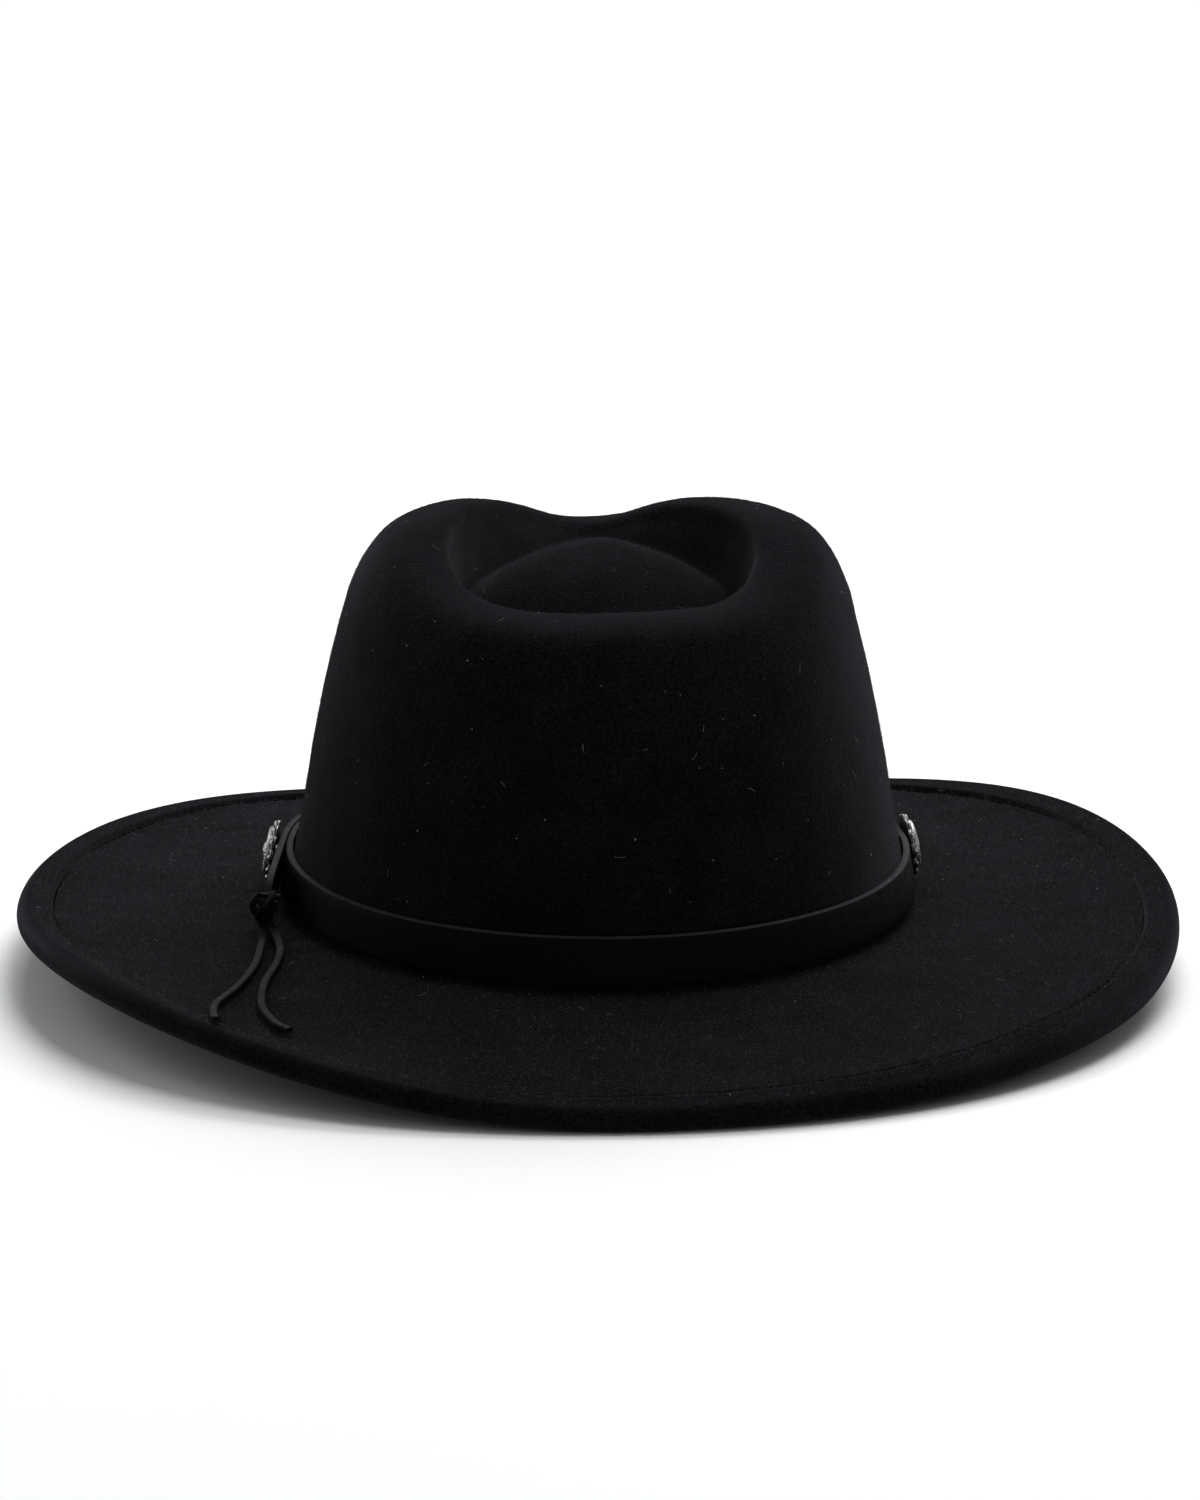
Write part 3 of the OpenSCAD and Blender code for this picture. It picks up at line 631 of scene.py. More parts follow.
def make_felt():
    """The felt as one skin: outer side, nose, turned-up hem and inner side. Returns its outer side."""
    a = ring_angles(AROUND)
    reach = fold_reach(a)
    rows = crown_rows(a, CREST_CUTS, WALL_ROWS) + break_rows(a, BREAK_ROWS)
    rows += [brim(a, mix(BREAK_R, reach - SEAM_START, t)) for t in np.linspace(0, 1, BRIM_ROWS)[1:]]
    plain = len(rows)
    for inward in np.concatenate([SEAM_ROWS, EDGE_ROWS]):
        r = reach - inward
        p = brim(a, r) - brim_up(a, r) * stitch_groove(inward)
        rows.append(hem_shaped(p, a, inward, hem_pad(inward)))
    rows = np.asarray(rows)
    normals = ring_normals(rows)
    lump = 0.28 * swell(rows, 46, 1) + 0.10 * swell(rows, 13, 2)
    settle = np.ones(len(rows))
    settle[:STILL_TOP] = np.linspace(0, 1, STILL_TOP)
    settle[-STILL_EDGE:] = np.linspace(1, 0.15, STILL_EDGE)
    outer = rows + normals * (lump * settle[:, None])[..., None]

    def leaf(inward, depth):
        return hem_shaped(edge_point(a, inward, np.full_like(a, depth)), a, inward)

    def fold(radius, t, pad=0.0):
        return hem_shaped(fold_point(a, radius, t), a, -radius * math.sin(t), pad)

    half, leaf_in = FELT_T / 2, HEM_W - NOSE_R
    edge = [fold(NOSE_R, t, HEM_PAD * 0.5 * max(math.cos(t), 0) ** 0.5)
            for t in np.linspace(0, math.pi, 17)[1:]]
    edge += [leaf(inward, 2 * FELT_T + HEM_GAP - stitch_groove(inward)) for inward in UNDER_ROWS]
    edge += [leaf(leaf_in - half + half * math.sin(t), FELT_T + HEM_GAP + half + half * math.cos(t))
             for t in np.linspace(0, math.pi, 7)]
    edge += [leaf(inward, FELT_T + HEM_GAP) for inward in (5, 3, 1.5)]
    edge += [fold(FOLD_R, t) for t in np.linspace(math.pi, 0, 9)]
    edge += [leaf(inward, FELT_T) for inward in (2, 4, 6, leaf_in)]

    inner = [outer[i] - normals[i] * FELT_T for i in range(plain - 1, 0, -1) if i % 2 == 0 or i in CLOSE_ROWS]
    last = outer[0] - Z_AXIS * FELT_T
    vertices, faces = capped_skin(list(outer) + edge + inner + [last])
    obj = new_object("felt_hat_body", vertices, faces, FELT)
    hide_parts("felt_body")
    return outer, normals


felt_outer, felt_normals = make_felt()


# ---- nap and lint on the felt
NAP_COUNT, LINT_COUNT, HAIR_COUNT = 46000, 420, 110
TOP_ROW, BREAK_ROW, EDGE_ROW = 6, 84, 138    # rows of the felt's outer side between which the fibres stand
FIBRE_L, FIBRE_R, HAIR_R = 1.25, 0.045, 0.035


def on_felt(count, first, last):
    """Random places on the felt's outer side, even by area, with the normals there."""
    rows, normals = felt_outer[first:last], felt_normals[first:last]
    down, across = rows[1:, :, :] - rows[:-1, :, :], np.roll(rows, -1, 1)[:-1] - rows[:-1]
    area = np.linalg.norm(np.cross(down, across), axis=-1)
    pick = RNG.choice(area.size, count, p=(area / area.sum()).ravel())
    i, j = np.unravel_index(pick, area.shape)
    u, v = RNG.random((2, count, 1))
    k = (j + 1) % rows.shape[1]
    place = mix(mix(rows[i, j], rows[i + 1, j], u), mix(rows[i, k], rows[i + 1, k], u), v)
    return place, normals[i, j]


def across_normals(n):
    """A random direction in the surface at each normal, and the one square to it."""
    side = unit(np.cross(n, RNG.normal(size=n.shape)))
    return side, np.cross(n, side)


def make_nap(name, first, last, material):
    """Short fibres that stand out of the felt, each a thin three-sided spike."""
    p, n = on_felt(NAP_COUNT, first, last)
    side, other = across_normals(n)
    length = RNG.uniform(0.35, 1.0, (NAP_COUNT, 1)) ** 1.5 * FIBRE_L
    lean = RNG.uniform(0.2, 1.1, (NAP_COUNT, 1))
    corners = [p - n * 0.1 + (side * math.cos(t) + other * math.sin(t)) * FIBRE_R for t in ring_angles(3)]
    corners.append(p + (n * 0.8 + side * lean) * length)
    vertices = np.stack(corners, 1).reshape(-1, 3)
    spike = [(2, 1, 0), (0, 1, 3), (1, 2, 3), (2, 0, 3)]
    faces = [tuple(b + i for i in f) for b in range(0, 4 * NAP_COUNT, 4) for f in spike]
    nap = new_object(name, vertices, faces, material)


def make_lint():
    """Specks of lint and short pale hairs caught on the felt."""
    pile = Pile()
    p, n = on_felt(LINT_COUNT + HAIR_COUNT, TOP_ROW, EDGE_ROW)
    side, other = across_normals(n)
    speck = [(0, 2, 4), (2, 1, 4), (1, 3, 4), (3, 0, 4), (2, 0, 5), (1, 2, 5), (3, 1, 5), (0, 3, 5)]
    for k in range(LINT_COUNT):
        r = 0.10 + 0.16 * RNG.random() ** 3
        stretch = RNG.uniform(0.7, 2.2)
        s, o, u = side[k] * r * stretch, other[k] * r, n[k] * r * 0.7
        pile.add(p[k] + n[k] * 0.05 + np.array([s, -s, o, -o, u, -u]), speck)
    for k in range(LINT_COUNT, LINT_COUNT + HAIR_COUNT):
        length, bend = RNG.uniform(0.8, 3.2), RNG.uniform(-0.5, 0.5)
        t = np.linspace(-0.5, 0.5, 7)
        path = p[k] + n[k] * 0.10 + side[k] * column(t * length) + other[k] * column(bend * length * t * t) \
            + n[k] * column(0.15 * (0.25 - t * t))
        pile.add(*swept(path, round_section(HAIR_R, 4), up=n[k]))
    pile.finish("lint", LINT, smooth_shade=False)


# the crown gets the shaded copy of the nap, and the brim gets the copy with painted sheen
make_nap("crown_nap_shaded", TOP_ROW, BREAK_ROW, CROWN_NAP_SHADED)
make_nap("brim_nap_painted_sheen", BREAK_ROW, EDGE_ROW, BRIM_NAP_PAINTED_SHEEN)
make_lint()


# ---- seam at the brim's edge
STITCH_PITCH, STITCH_L, THREAD_D = 3.4, 2.7, 0.55
STITCH_SINK = 0.42    # depth of the thread's centre under the felt's plain surface


def thread_run(pile, p, q, sink, radius=THREAD_D / 2):
    """One stitch from p to q: a short length of thread whose ends dive along sink."""
    t = np.linspace(0, 1, 6)
    path = mix(np.asarray(p), np.asarray(q), t[:, None]) + np.asarray(sink) * ((2 * t - 1) ** 4)[:, None]
    pile.add(*swept(path, round_section(radius, 6), scale=1 - 0.25 * (2 * t - 1) ** 4))


def seam_line(depth, count=4000):
    """Points, normals and running length of the seam round the brim, at a depth under its upper side."""
    a = ring_angles(count)
    p = hem_shaped(edge_point(a, STITCH_R, np.full_like(a, depth)), a, STITCH_R)
    up = brim_up(a, fold_reach(a) - STITCH_R)
    p, up = (np.concatenate([v, v[:1]]) for v in (p, up))
    return p, up, running_length(p)


def make_brim_stitches():
    """The stitches on the brim's upper side and on its under side."""
    pile = Pile()
    for depth, side in ((STITCH_SINK, 1.0), (2 * FELT_T + HEM_GAP - STITCH_SINK, -1.0)):
        p, up, along = seam_line(depth)
        count = round(along[-1] / STITCH_PITCH)
        pitch = along[-1] / count
        for k in range(count):
            start = k * pitch + RNG.uniform(-0.08, 0.08)
            first, last, n = (np.array([np.interp(place, along, v[:, i]) for i in range(3)])
                              for place, v in ((start, p), (start + STITCH_L, p), (start, up)))
            thread_run(pile, first, last, -n * side * 0.45)
    pile.finish("brim_edge_stitches", BLACK_THREAD)


make_brim_stitches()


# ---- strap
LAP_STEP = STRAP_T + FIT_GAP
LAP_START = DISC_LEFT_A - 9
STRAP_TURN = 360 + LAP
STRAP_MID = STRAP_Z + STRAP_H / 2
DISC_Z = DISC_D / 2 + 0.4
HOLE_D = LACE_D + 1.2
HOLE_TO_TIP = HOLE_D / 2 + 2.4
TIP_L = 3.0    # rounded end of the tongue
NUT_R, NUT_DEPTH = 4.2, 1.1    # recess for the post's foot in the strap's inner face


def strap_off(s):
    """Distance of the strap's inner face from the wall, s degrees after its inner end."""
    return STRAP_GAP + LAP_STEP * np.clip((s - (360 - RAMP)) / RAMP, 0, 1)


def strap_point(s, z, off):
    a = np.radians(LAP_START + np.asarray(s, float))
    return wall_at(a, z) + outward(a) * column(off)


def tongue_line():
    """Direction and end of the tongue, at the middle of the strap's thickness."""
    last = STRAP_TURN
    d = unit(strap_point(last, STRAP_MID, 0) - strap_point(last - 2, STRAP_MID, 0))
    return d, strap_point(last, STRAP_MID, strap_off(last) + STRAP_T / 2) + d * TONGUE_L


TONGUE_DIR, TONGUE_END = tongue_line()


def turned_to(d):
    """Matrix that turns the Z axis to the direction d, as the construction model does."""
    tilt, turn = math.acos(d[2]), math.atan2(d[1], d[0])
    ct, st, cp, sp = math.cos(turn), math.sin(turn), math.cos(tilt), math.sin(tilt)
    return np.array([[ct, -st, 0], [st, ct, 0], [0, 0, 1]]) @ np.array([[cp, 0, sp], [0, 1, 0], [-sp, 0, cp]])


def placed(vertices, p, d):
    """Points made round the Z axis, moved to stand at p and point along d."""
    return np.asarray(vertices, float) @ turned_to(d).T + p


def wall_axis(angle):
    """Direction square to the wall behind the strap."""
    a, e = math.radians(angle), math.radians(1)
    across = wall_at(np.array(a + e), DISC_Z) - wall_at(np.array(a - e), DISC_Z)
    up = wall_at(np.array(a), STRAP_Z + STRAP_H) - wall_at(np.array(a), STRAP_Z)
    return unit(np.cross(across, up))


def disc_seat(angle, stack):
    """Place and direction of a disc, and how far the strap's outer face is from the wall there."""
    return wall_at(np.array(math.radians(angle)), DISC_Z), wall_axis(angle), stack


DISC_SEATS = {"left": disc_seat(DISC_LEFT_A, STRAP_GAP + LAP_STEP + STRAP_T),
              "right": disc_seat(DISC_RIGHT_A, STRAP_GAP + STRAP_T)}


def cylinder_mesh(p, d, radius, start, end, sides=40):
    ring = np.concatenate([round_section(radius, sides), np.zeros((sides, 1))], 1)
    vertices = placed(np.concatenate([ring + [0, 0, start], ring + [0, 0, end]]), p, d)
    return vertices, tube_faces(2, sides)


def cut_out(obj, *cutters):
    """Cuts closed shapes out of a mesh object."""
    for vertices, faces in cutters:
        cutter = add_object("cutter", new_mesh("cutter", vertices, faces))
        modifier = obj.modifiers.new("cut", "BOOLEAN")
        modifier.operation, modifier.solver, modifier.object = "DIFFERENCE", "EXACT", cutter
        bpy.context.view_layer.update()
        cut = bpy.data.meshes.new_from_object(obj.evaluated_get(bpy.context.evaluated_depsgraph_get()))
        obj.modifiers.clear()
        obj.data = cut
        bpy.data.objects.remove(cutter)


def mark(obj, name, values):
    """Gives a mesh a value at each point, for its material to read."""
    attribute = obj.data.attributes.new(name, "FLOAT", "POINT")
    attribute.data.foreach_set("value", np.asarray(values, np.float32))


def make_strap():
    """The strap: once round the wall, over its own inner end and on into the straight tongue."""
    section = soft_box_section(STRAP_T, STRAP_H, 0.4)
    rows_up = np.linspace(-STRAP_H / 2 + 0.6, STRAP_H / 2 - 0.6, 7)
    left = [(-STRAP_T / 2, z) for z in rows_up[::-1][1:-1]]
    right = [(STRAP_T / 2, z) for z in rows_up[1:-1]]
    section = np.concatenate([section[:8], left, section[8:], right])
    off, high = section[:, 0], section[:, 1]
    # the strap's top and bottom edges, which carry the painted highlight colour
    edge = np.clip((np.abs(high) - (STRAP_H / 2 - 0.35)) / 0.2, 0, 1)
    rings = []
    for s in np.concatenate([np.arange(0, STRAP_TURN, 0.8), [STRAP_TURN]]):
        wave = 0.10 * math.sin(math.radians(7 * s)) + 0.06 * math.sin(math.radians(17 * s + 40))
        base = strap_off(s) + STRAP_T / 2 + wave * 0.5
        a = np.full(len(section), math.radians(LAP_START + s))
        rings.append(wall_at(a, STRAP_MID + high) + outward(a) * column(base + off))
    tip = TONGUE_L - TIP_L * (1 - np.sin(np.linspace(0, math.pi / 2, 9)))
    a = np.full(len(section), math.radians(LAP_START + STRAP_TURN))
    for d in np.concatenate([np.arange(1.0, TONGUE_L - TIP_L, 1.0), tip]):
        narrow = STRAP_H * 0.28 * (max(d / TONGUE_L - 0.8, 0) / 0.2) ** 2
        rounding = math.sqrt(max(1 - (max(d - (TONGUE_L - TIP_L), 0) / (TIP_L + 0.02)) ** 2, 0))
        half = (STRAP_H / 2 - narrow) * (0.25 + 0.75 * rounding)
        shape = wall_at(a, STRAP_MID + high * half / (STRAP_H / 2))
        shape = shape + outward(a) * column(strap_off(STRAP_TURN) + STRAP_T / 2 + off)
        rings.append(shape + TONGUE_DIR * d)
    n, m = len(rings), len(section)
    obj = new_object("leather_strap", np.concatenate(rings), tube_faces(n, m), STRAP_LEATHER, body="band")
    # the strap's cut ends get the same painted highlight colour
    ends = np.zeros(n)
    ends[0], ends[-4:] = 1, 1
    mark(obj, "cut_edge_and_highlight", np.maximum(np.tile(edge, n), np.repeat(ends, m)))
    across = unit(np.cross(TONGUE_DIR, Z_AXIS))
    holes = [cylinder_mesh(TONGUE_END - TONGUE_DIR * HOLE_TO_TIP, across, HOLE_D / 2, -4, 4)]
    for p, d, stack in DISC_SEATS.values():
        holes.append(cylinder_mesh(p, d, POST_D / 2 + 0.2, -1, stack + 3))
        holes.append(cylinder_mesh(p, d, NUT_R, -1, STRAP_GAP + NUT_DEPTH))
    cut_out(obj, *holes)
    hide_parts("hat_band")


make_strap()


# ---- discs
RINGS, SPOKES = 56, 240


def from_scallop(angle):
    """Angle from the middle of the nearest scallop."""
    part = 2 * math.pi / SCALLOPS
    return (angle + part / 2) % part - part / 2


def disc_outline(angle):
    """Radius of the scalloped rim at an angle."""
    scallop = DISC_D * math.pi / SCALLOPS * 1.15 / 2
    off = from_scallop(angle)
    centre = DISC_D / 2 - scallop
    return centre * np.cos(off) + np.sqrt(scallop ** 2 - (centre * np.sin(off)) ** 2)


def disc_height(r, angle):
    """Relief of the disc: boss, petals, twisted ring and a bead in each scallop."""
    heights = [DISC_H * v for v in (0.88, 0.74, 0.62, 0.80, 0.86, 0.78, 0.58)]
    dome = np.interp(r, [0, 1.25, 2.2, 2.6, 3.0, 5.3, 5.7, 6.15, 6.6, 6.95, 7.3, 9],
                     [DISC_H + 0.6, DISC_H + 0.45, DISC_H, *heights, 1.25, 1.05])
    petals = -0.30 * np.exp(-((r - 4.2) / 1.1) ** 2) * (1 - np.abs(np.sin(SCALLOPS / 2 * angle)) ** 0.7)
    rope = 0.16 * np.exp(-((r - 6.15) / 0.4) ** 2) * np.sin(40 * angle + 2.2 * r)
    off = from_scallop(angle)
    bead = 0.55 * np.exp(-(((r * np.cos(off) - 8.0) ** 2 + (r * np.sin(off)) ** 2) / 0.75 ** 2) ** 2)
    return dome + petals + rope + bead


def make_disc(side):
    """A disc with its relief, its flat back and the bore for its post."""
    p, d, stack = DISC_SEATS[side]
    angle = ring_angles(SPOKES)
    limit = disc_outline(angle)
    rows, dark = [], []
    for u in np.linspace(0, 1, RINGS):
        rim = smooth((u - 0.7) / 0.3)
        r = np.minimum(u * DISC_D / 2 * (1 - rim) + u * limit * rim, limit)
        h = disc_height(r, angle) - 0.5 * smooth((u - 0.965) / 0.035)
        rows.append(points(r * np.cos(angle), r * np.sin(angle), h))
        near = disc_height(r + 0.5, angle) + disc_height(r - 0.5, angle)
        around = (np.roll(h, 4) + np.roll(h, -4) + near) / 4
        dark.append(np.clip((around - h) / 0.16, 0, 1))
    under = [limit - 0.05, limit - 0.25]
    rows += [points(r * np.cos(angle), r * np.sin(angle), z) for r, z in zip(under, (0.2, 0.0))]
    bore = (POST_D + 0.2) / 2
    ring = points(np.cos(angle), np.sin(angle), 0.0)
    rows += [ring * 6, ring * bore, ring * bore + Z_AXIS * 2.0, ring * 0 + Z_AXIS * 2.0]
    dark += [np.full(SPOKES, v) for v in (0.4, 0.6, 0.8, 0.9, 1, 1)]
    vertices, faces = capped_skin(rows)
    obj = new_object(side + "_silver_disc", placed(vertices + Z_AXIS * (stack + 0.6), p, d), faces, SILVER,
                     body=side + "_disc")
    mark(obj, "hollow", np.concatenate([np.concatenate(dark[1:-1]), [0, 1]]))
    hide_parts("concho_" + side)


make_disc("left")
make_disc("right")


# ---- lace
def lace_section():
    return soft_box_section(LACE_D, LACE_D * 0.86, 0.5)


def make_knot():
    """The lace's loop through the tongue, the turns drawn tight under it, a strand over them and a bight."""
    loop_r = (HOLE_TO_TIP + LACE_D / 2 + 0.4) / 2
    hole = TONGUE_END - TONGUE_DIR * HOLE_TO_TIP
    centre = hole + TONGUE_DIR * loop_r
    across = unit(np.cross(TONGUE_DIR, Z_AXIS))
    a = ring_angles(48)
    loop = centre + TONGUE_DIR * column(np.cos(a)) * loop_r + across * column(np.sin(a)) * loop_r \
        + Z_AXIS * column(0.5 * np.cos(a))
    pile = Pile()
    pile.add(*closed_sweep(loop, lace_section()))
    wrap_top = centre + TONGUE_DIR * (loop_r + LACE_D * 0.3) + Z_AXIS * 1.4
    for rise, wide, lean in ((-1.5, 2.25, 0.55), (-3.7, 2.35, -0.5)):
        ring = wrap_top + across * column(np.cos(a)) * wide + TONGUE_DIR * column(np.sin(a)) * 1.7 \
            + Z_AXIS * column(rise + lean * np.cos(a) + 0.15 * np.sin(2 * a))
        pile.add(*closed_sweep(ring, lace_section() * 0.94))
    strand = [(-1.8, 0.4, 1.3), (-1.9, 2.2, 0.2), (-0.4, 3.1, -1.9), (1.5, 2.7, -4.0), (2.2, 1.2, -5.6)]
    bight = [(1.6, 0.6, 0.8), (3.1, 1.2, -0.6), (3.7, 1.5, -2.4), (3.0, 1.4, -4.2), (1.5, 0.8, -5.4)]
    for route, size in ((strand, 0.9), (bight, 0.85)):
        line = spline([wrap_top + across * x + TONGUE_DIR * y + Z_AXIS * z for x, y, z in route], 24)
        pile.add(*swept(line, lace_section() * size))
    core = spline([wrap_top + Z_AXIS * 0.9, wrap_top - Z_AXIS * 2.5, wrap_top - Z_AXIS * 5.6], 10)
    pile.add(*swept(core, soft_box_section(3.6, 2.6, 0.9), up=TONGUE_DIR))
    obj = pile.finish("lace_knot_turns", LACE_LEATHER, "band")
    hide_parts("lace_knot")


def make_tail(name, route, node):
    """A hanging end of the lace, from the knot down to its cut end."""
    path = spline(route, 90)
    t = np.linspace(0, 1, len(path))
    wobble = points(0.10 * np.sin(23 * t) * smooth(4 * t), 0.0, 0.0)
    section = lace_section()
    vertices, faces = swept(path + wobble, section)
    obj = new_object(name, vertices, faces, LACE_LEATHER, body="band")
    cut = np.zeros(len(path))
    cut[-1] = 1
    mark(obj, "cut_edge_and_highlight", np.repeat(cut, len(section)))
    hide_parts(node)


make_tail("lace_tail_outer_end", OUTER_ROUTE, "lace_tail_outer")
make_tail("lace_tail_inner_end", INNER_ROUTE, "lace_tail_inner")
make_knot()


# ---- inside the head opening
LINING_DEPTH = FELT_T * 1.03 + FIT_GAP
SWEAT_DEPTH = LINING_DEPTH + LINING_T + FIT_GAP
REED_Z = -1.2 - REED_D / 2


def under_wall(a, z, depth):
    """Point at a height above the brim break and at a depth under the crown's outer wall."""
    p = wall_at(a, np.maximum(z, 0) * np.ones_like(a))
    return points(p[..., 0], p[..., 1], BREAK_Z + z) - outward(a) * column(depth * np.ones_like(a))


def make_sweatband():
    """Leather band with its lip, its hem round the reed and its two lines of stitches."""
    a = ring_angles(240)
    leaf, hem_in = 0.8, REED_D + 0.3
    floor = REED_Z - REED_D / 2 - 0.15
    lip = [(-0.5 + 0.5 * math.cos(t), SWEAT_H - 0.5 + 0.5 * math.sin(t)) for t in np.linspace(0, math.pi, 7)]
    inside = [(-SWEAT_T, z) for z in np.linspace(SWEAT_H - 3, 2.6, 10)]
    seam = [(-SWEAT_T, 1.9), (-SWEAT_T + 0.15, 1.2), (-SWEAT_T, 0.5), (-SWEAT_T, -1.5),
            (-SWEAT_T + 0.1, floor - 0.2)]
    far, low = hem_in + leaf, floor - leaf
    hem = [(-0.3, low), (hem_in, low), (hem_in + leaf * 0.7, low + 0.3), (far, low + 0.9), (far, -1.0),
           (far - 0.2, -0.8), (hem_in, -0.8), (hem_in, floor), (0, floor), (0, 0),
           (0, SWEAT_H / 2), (0, SWEAT_H - 1)]
    profile = lip + inside + seam + hem
    rows = [under_wall(a, z, SWEAT_DEPTH - p) for p, z in profile]
    lump = 0.10 * swell(np.asarray(rows), 24, 5)
    rows = [r - outward(a) * column(np.abs(k) * (p < -0.6)) for r, k, (p, _) in zip(rows, lump, profile)]
    faces = ring_faces(len(rows), len(a), closed=True)
    obj = new_object("leather_sweatband", np.concatenate(rows), faces, SWEAT_LEATHER)
    mark(obj, "cut_edge_and_highlight", np.repeat(np.arange(len(rows)) < len(lip), len(a)))
    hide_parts("sweatband")

    pile = Pile()
    pitch = 3.0
    count = round(2 * math.pi * (HALF_W + HALF_L) / 2 / pitch)
    for k in range(count):
        b = (k + np.array([0.0, 0.74])) * 2 * math.pi / count
        q = under_wall(b, 1.2, SWEAT_DEPTH + SWEAT_T - 0.02)
        thread_run(pile, q[0], q[1], outward(b)[0] * 0.4, 0.22)
    rise = np.linspace(3.5, SWEAT_H - 1.5, 15)
    for k in range(len(rise) - 1):
        if not 8 < rise[k] < 21:
            lean = 0.020 if k % 2 else -0.020
            b = 1.5 * math.pi + np.array([lean, -lean])
            q = [under_wall(b[i:i + 1], rise[k + i], SWEAT_DEPTH + SWEAT_T + 0.1)[0] for i in (0, 1)]
            thread_run(pile, q[0], q[1], outward(b)[0] * 0.5, 0.25)
    pile.finish("sweatband_stitches", BROWN_THREAD)


LOOP_ROUTE = [(0, 0.25), (4, 0.2), (8.5, 0.4), (10.6, 0.85), (9.0, 1.35), (4.5, 1.3), (0, 1.1)]


def make_bow():
    """Small ribbon bow over the sweatband's rear seam."""
    rear = np.array([1.5 * math.pi])
    sag = 11 ** 2 * 101.5 / 83 ** 2 / 2
    seat = under_wall(rear, SWEAT_H / 2, SWEAT_DEPTH + SWEAT_T + FIT_GAP + sag)[0]
    rise = unit(under_wall(rear, SWEAT_H, 0.0)[0] - under_wall(rear, SWEAT_H / 2, 0.0)[0])
    x_axis = np.array([1.0, 0.0, 0.0])
    into = np.cross(x_axis, rise)
    pile = Pile()
    for sign in (-1, 1):
        line = spline([(x, 0, z) for x, z in LOOP_ROUTE], 40)
        rings = []
        for q in line:
            half = 1.6 + 2.8 * smooth(q[0] / 8)
            for h in np.linspace(-1, 1, 9):
                cup = 0.12 * math.cos(3 * h) * q[0] / 10
                rings.append([sign * q[0], h * half, q[2] + cup])
        rings = np.array(rings).reshape(len(line), 9, 3)
        d = unit(np.gradient(line, axis=0))
        normal = np.cross([0, 1.0, 0], d) * [sign, 1, 1]
        thick = normal[:, None, :] * 0.11
        skin = np.concatenate([rings + thick, (rings - thick)[:, ::-1]], 1)
        pile.add(skin.reshape(-1, 3), tube_faces(*skin.shape[:2]))
    tie = swept([(0, y, 0) for y in np.linspace(-2.2, 2.2, 12)], soft_box_section(4.2, 2.0, 0.7, 5),
                scale=1 - 0.12 * np.abs(np.linspace(-1, 1, 12)) ** 2)
    pile.add(tie[0] + [0, 0, 0.9], tie[1])
    pile.vertices = [v[:, :1] * x_axis + v[:, 1:2] * rise + v[:, 2:] * into + seat for v in pile.vertices]
    obj = pile.finish("ribbon_bow", RIBBON)
    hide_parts("sweatband_bow")


def make_lining():
    """Satin lining: a gathered side under an oval tip with a piped seam."""
    a = ring_angles(360)
    gather = 0.5 + 0.5 * np.cos(60 * a + 0.8 * np.sin(3 * a))
    turn = 7.0

    def skin(inset):
        h, d = LINING_H - inset, LINING_DEPTH + inset
        rim = under_wall(a, h, d + turn)
        middle = np.array([0, 0, BREAK_Z + h])
        rows = [mix(middle, rim, t) for t in np.linspace(0, 1, 16)]
        rows[-1] = rows[-1] + Z_AXIS * 0.15
        for t in np.linspace(0, math.pi / 2, 8)[1:]:
            rows.append(under_wall(a, h - turn * (1 - math.cos(t)), d + turn * (1 - math.sin(t))))
        side = np.linspace(h - turn, SWEAT_H / 3, 34)[1:]
        for z in side:
            fold = 0.55 * gather * smooth((z - SWEAT_H - 0.5) / 5) * smooth((h - turn + 1 - z) / 4)
            rows.append(under_wall(a, z, d + fold))
        return rows

    outer, inner = skin(0), skin(LINING_T)
    vertices, faces = capped_skin(outer + inner[::-1])
    obj = new_object("satin_lining", vertices, faces, SATIN)
    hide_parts("crown_lining")

    h, d = LINING_H - LINING_T - 0.3, LINING_DEPTH + LINING_T
    pipe = under_wall(a, h, d + turn)
    piping = new_object("lining_piping", *closed_sweep(pipe, round_section(0.5, 8)), SATIN)


make_sweatband()
make_bow()
make_lining()


def finish_cad_nodes():
    """The pieces that stay as they are get their finish."""
    for node, material in (("brim_wire", STEEL), ("wire_sleeve", STEEL), ("sweatband_reed", REED),
                           ("concho_post_left", POST_METAL), ("concho_post_right", POST_METAL)):
        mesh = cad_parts[node].data
        mesh.materials.clear()
        mesh.materials.append(material)


finish_cad_nodes()


# ---- camera
CAM_AZ, CAM_EL, CAM_D = -2.8, 13.7, 1920.0       # degrees, degrees, millimetres from the target
CAM_LENS = 205.3                                 # millimetres, on a sensor 36 millimetres wide
CAM_TARGET = (0.8, 0.0, 59.8)


def make_camera():
    az, el = math.radians(CAM_AZ), math.radians(CAM_EL)
    forward = np.array([-math.sin(az) * math.cos(el), math.cos(az) * math.cos(el), -math.sin(el)])
    data = bpy.data.cameras.new("camera")
    data.sensor_fit = "HORIZONTAL"
    data.sensor_width = 36.0
    data.lens = CAM_LENS
    data.clip_end = 50
    camera = add_object("camera", data)
    camera.location = ((np.array(CAM_TARGET) - forward * CAM_D) * MM).tolist()
    camera.rotation_euler = (math.pi / 2 - el, 0, az)
    bpy.context.scene.camera = camera


make_camera()


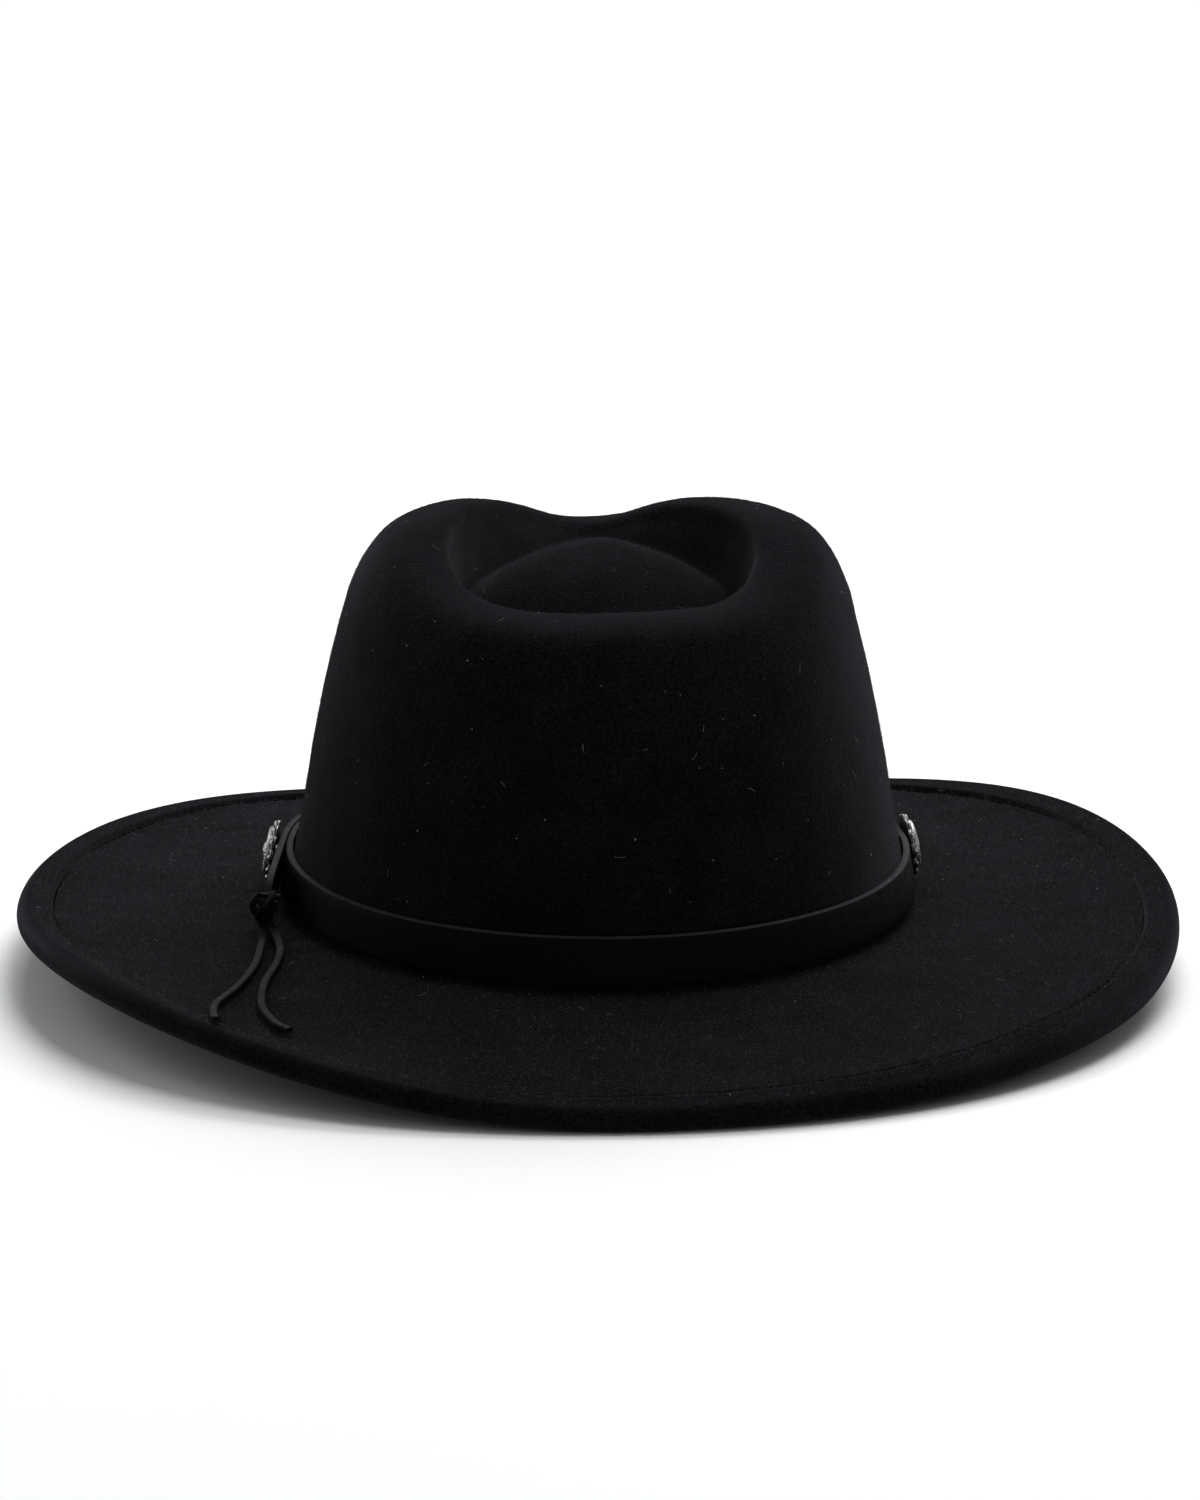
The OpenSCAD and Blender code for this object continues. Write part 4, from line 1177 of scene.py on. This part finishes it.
# ---- room
FLOOR_HALF, BACKGROUND_GLOW, WORLD_STRENGTH = 14.0, 0.9, 0.26
LIGHTS = [       # name, place, height aimed at above the floor's centre, size and watts
    ("back_top", (0.42, 1.20, 1.38), 0.05, (1.7, 0.9), 34),
    ("overhead", (0.35, 0.12, 1.72), 0.05, (1.0, 0.8), 13),
    ("left_side", (-1.5, 0.75, 0.95), 0.06, (0.7, 1.2), 6),
    ("right_side", (1.5, 0.75, 1.0), 0.06, (0.7, 1.2), 1)]


def area_light(name, place, aim, size, power):
    """A rectangular light, in metres."""
    data = bpy.data.lights.new(name, "AREA")
    data.shape = "RECTANGLE"
    data.size, data.size_y = size
    data.energy = power
    light = add_object(name, data)
    light.location = place
    to = np.array((0, 0, aim)) - np.array(place)
    tilt, turn = math.atan2(math.hypot(to[0], to[1]), -to[2]), math.atan2(to[1], to[0]) - math.pi / 2
    light.rotation_euler = (tilt, 0, turn)


def floor_material():
    """Seamless white paper, lit up a little more towards the distance, as by the room's background light."""
    n = Nodes("white_floor")
    n.set(Roughness=0.8)
    n.colour(n.ramp(n.noise(3, 2), 0.3, 0.7, (0.87, 0.875, 0.885, 1), (0.89, 0.895, 0.90, 1)))
    distance = n.add("ShaderNodeVectorMath", operation="LENGTH")
    n.link(n.position, distance.inputs[0])
    seen = n.add("ShaderNodeLightPath").outputs["Is Camera Ray"]
    glow = n.ramp(n.maths("MULTIPLY", distance.outputs["Value"], 0.25), 0.06, 0.9)
    far = n.maths("MULTIPLY", glow, seen)
    n.set(Emission_Color=(0.94, 0.97, 1.0, 1))
    n.link(n.maths("MULTIPLY", far, BACKGROUND_GLOW), n.shader.inputs["Emission Strength"])
    return n.material


def make_room():
    """White floor, four lights and a bright world."""
    mesh = bpy.data.meshes.new("studio_floor")
    corners = [(x * FLOOR_HALF, y * FLOOR_HALF, 0) for x, y in ((-1, -1), (1, -1), (1, 1), (-1, 1))]
    mesh.from_pydata(corners, [], [(0, 1, 2, 3)])
    mesh.materials.append(floor_material())
    floor = add_object("studio_floor", mesh)
    for light in LIGHTS:
        area_light(*light)

    world = bpy.data.worlds.new("white_room")
    world.use_nodes = True
    background = world.node_tree.nodes["Background"]
    background.inputs["Color"].default_value = (0.97, 0.98, 1.0, 1)
    background.inputs["Strength"].default_value = WORLD_STRENGTH
    bpy.context.scene.world = world


make_room()
bpy.context.scene.view_settings.view_transform = "Standard"
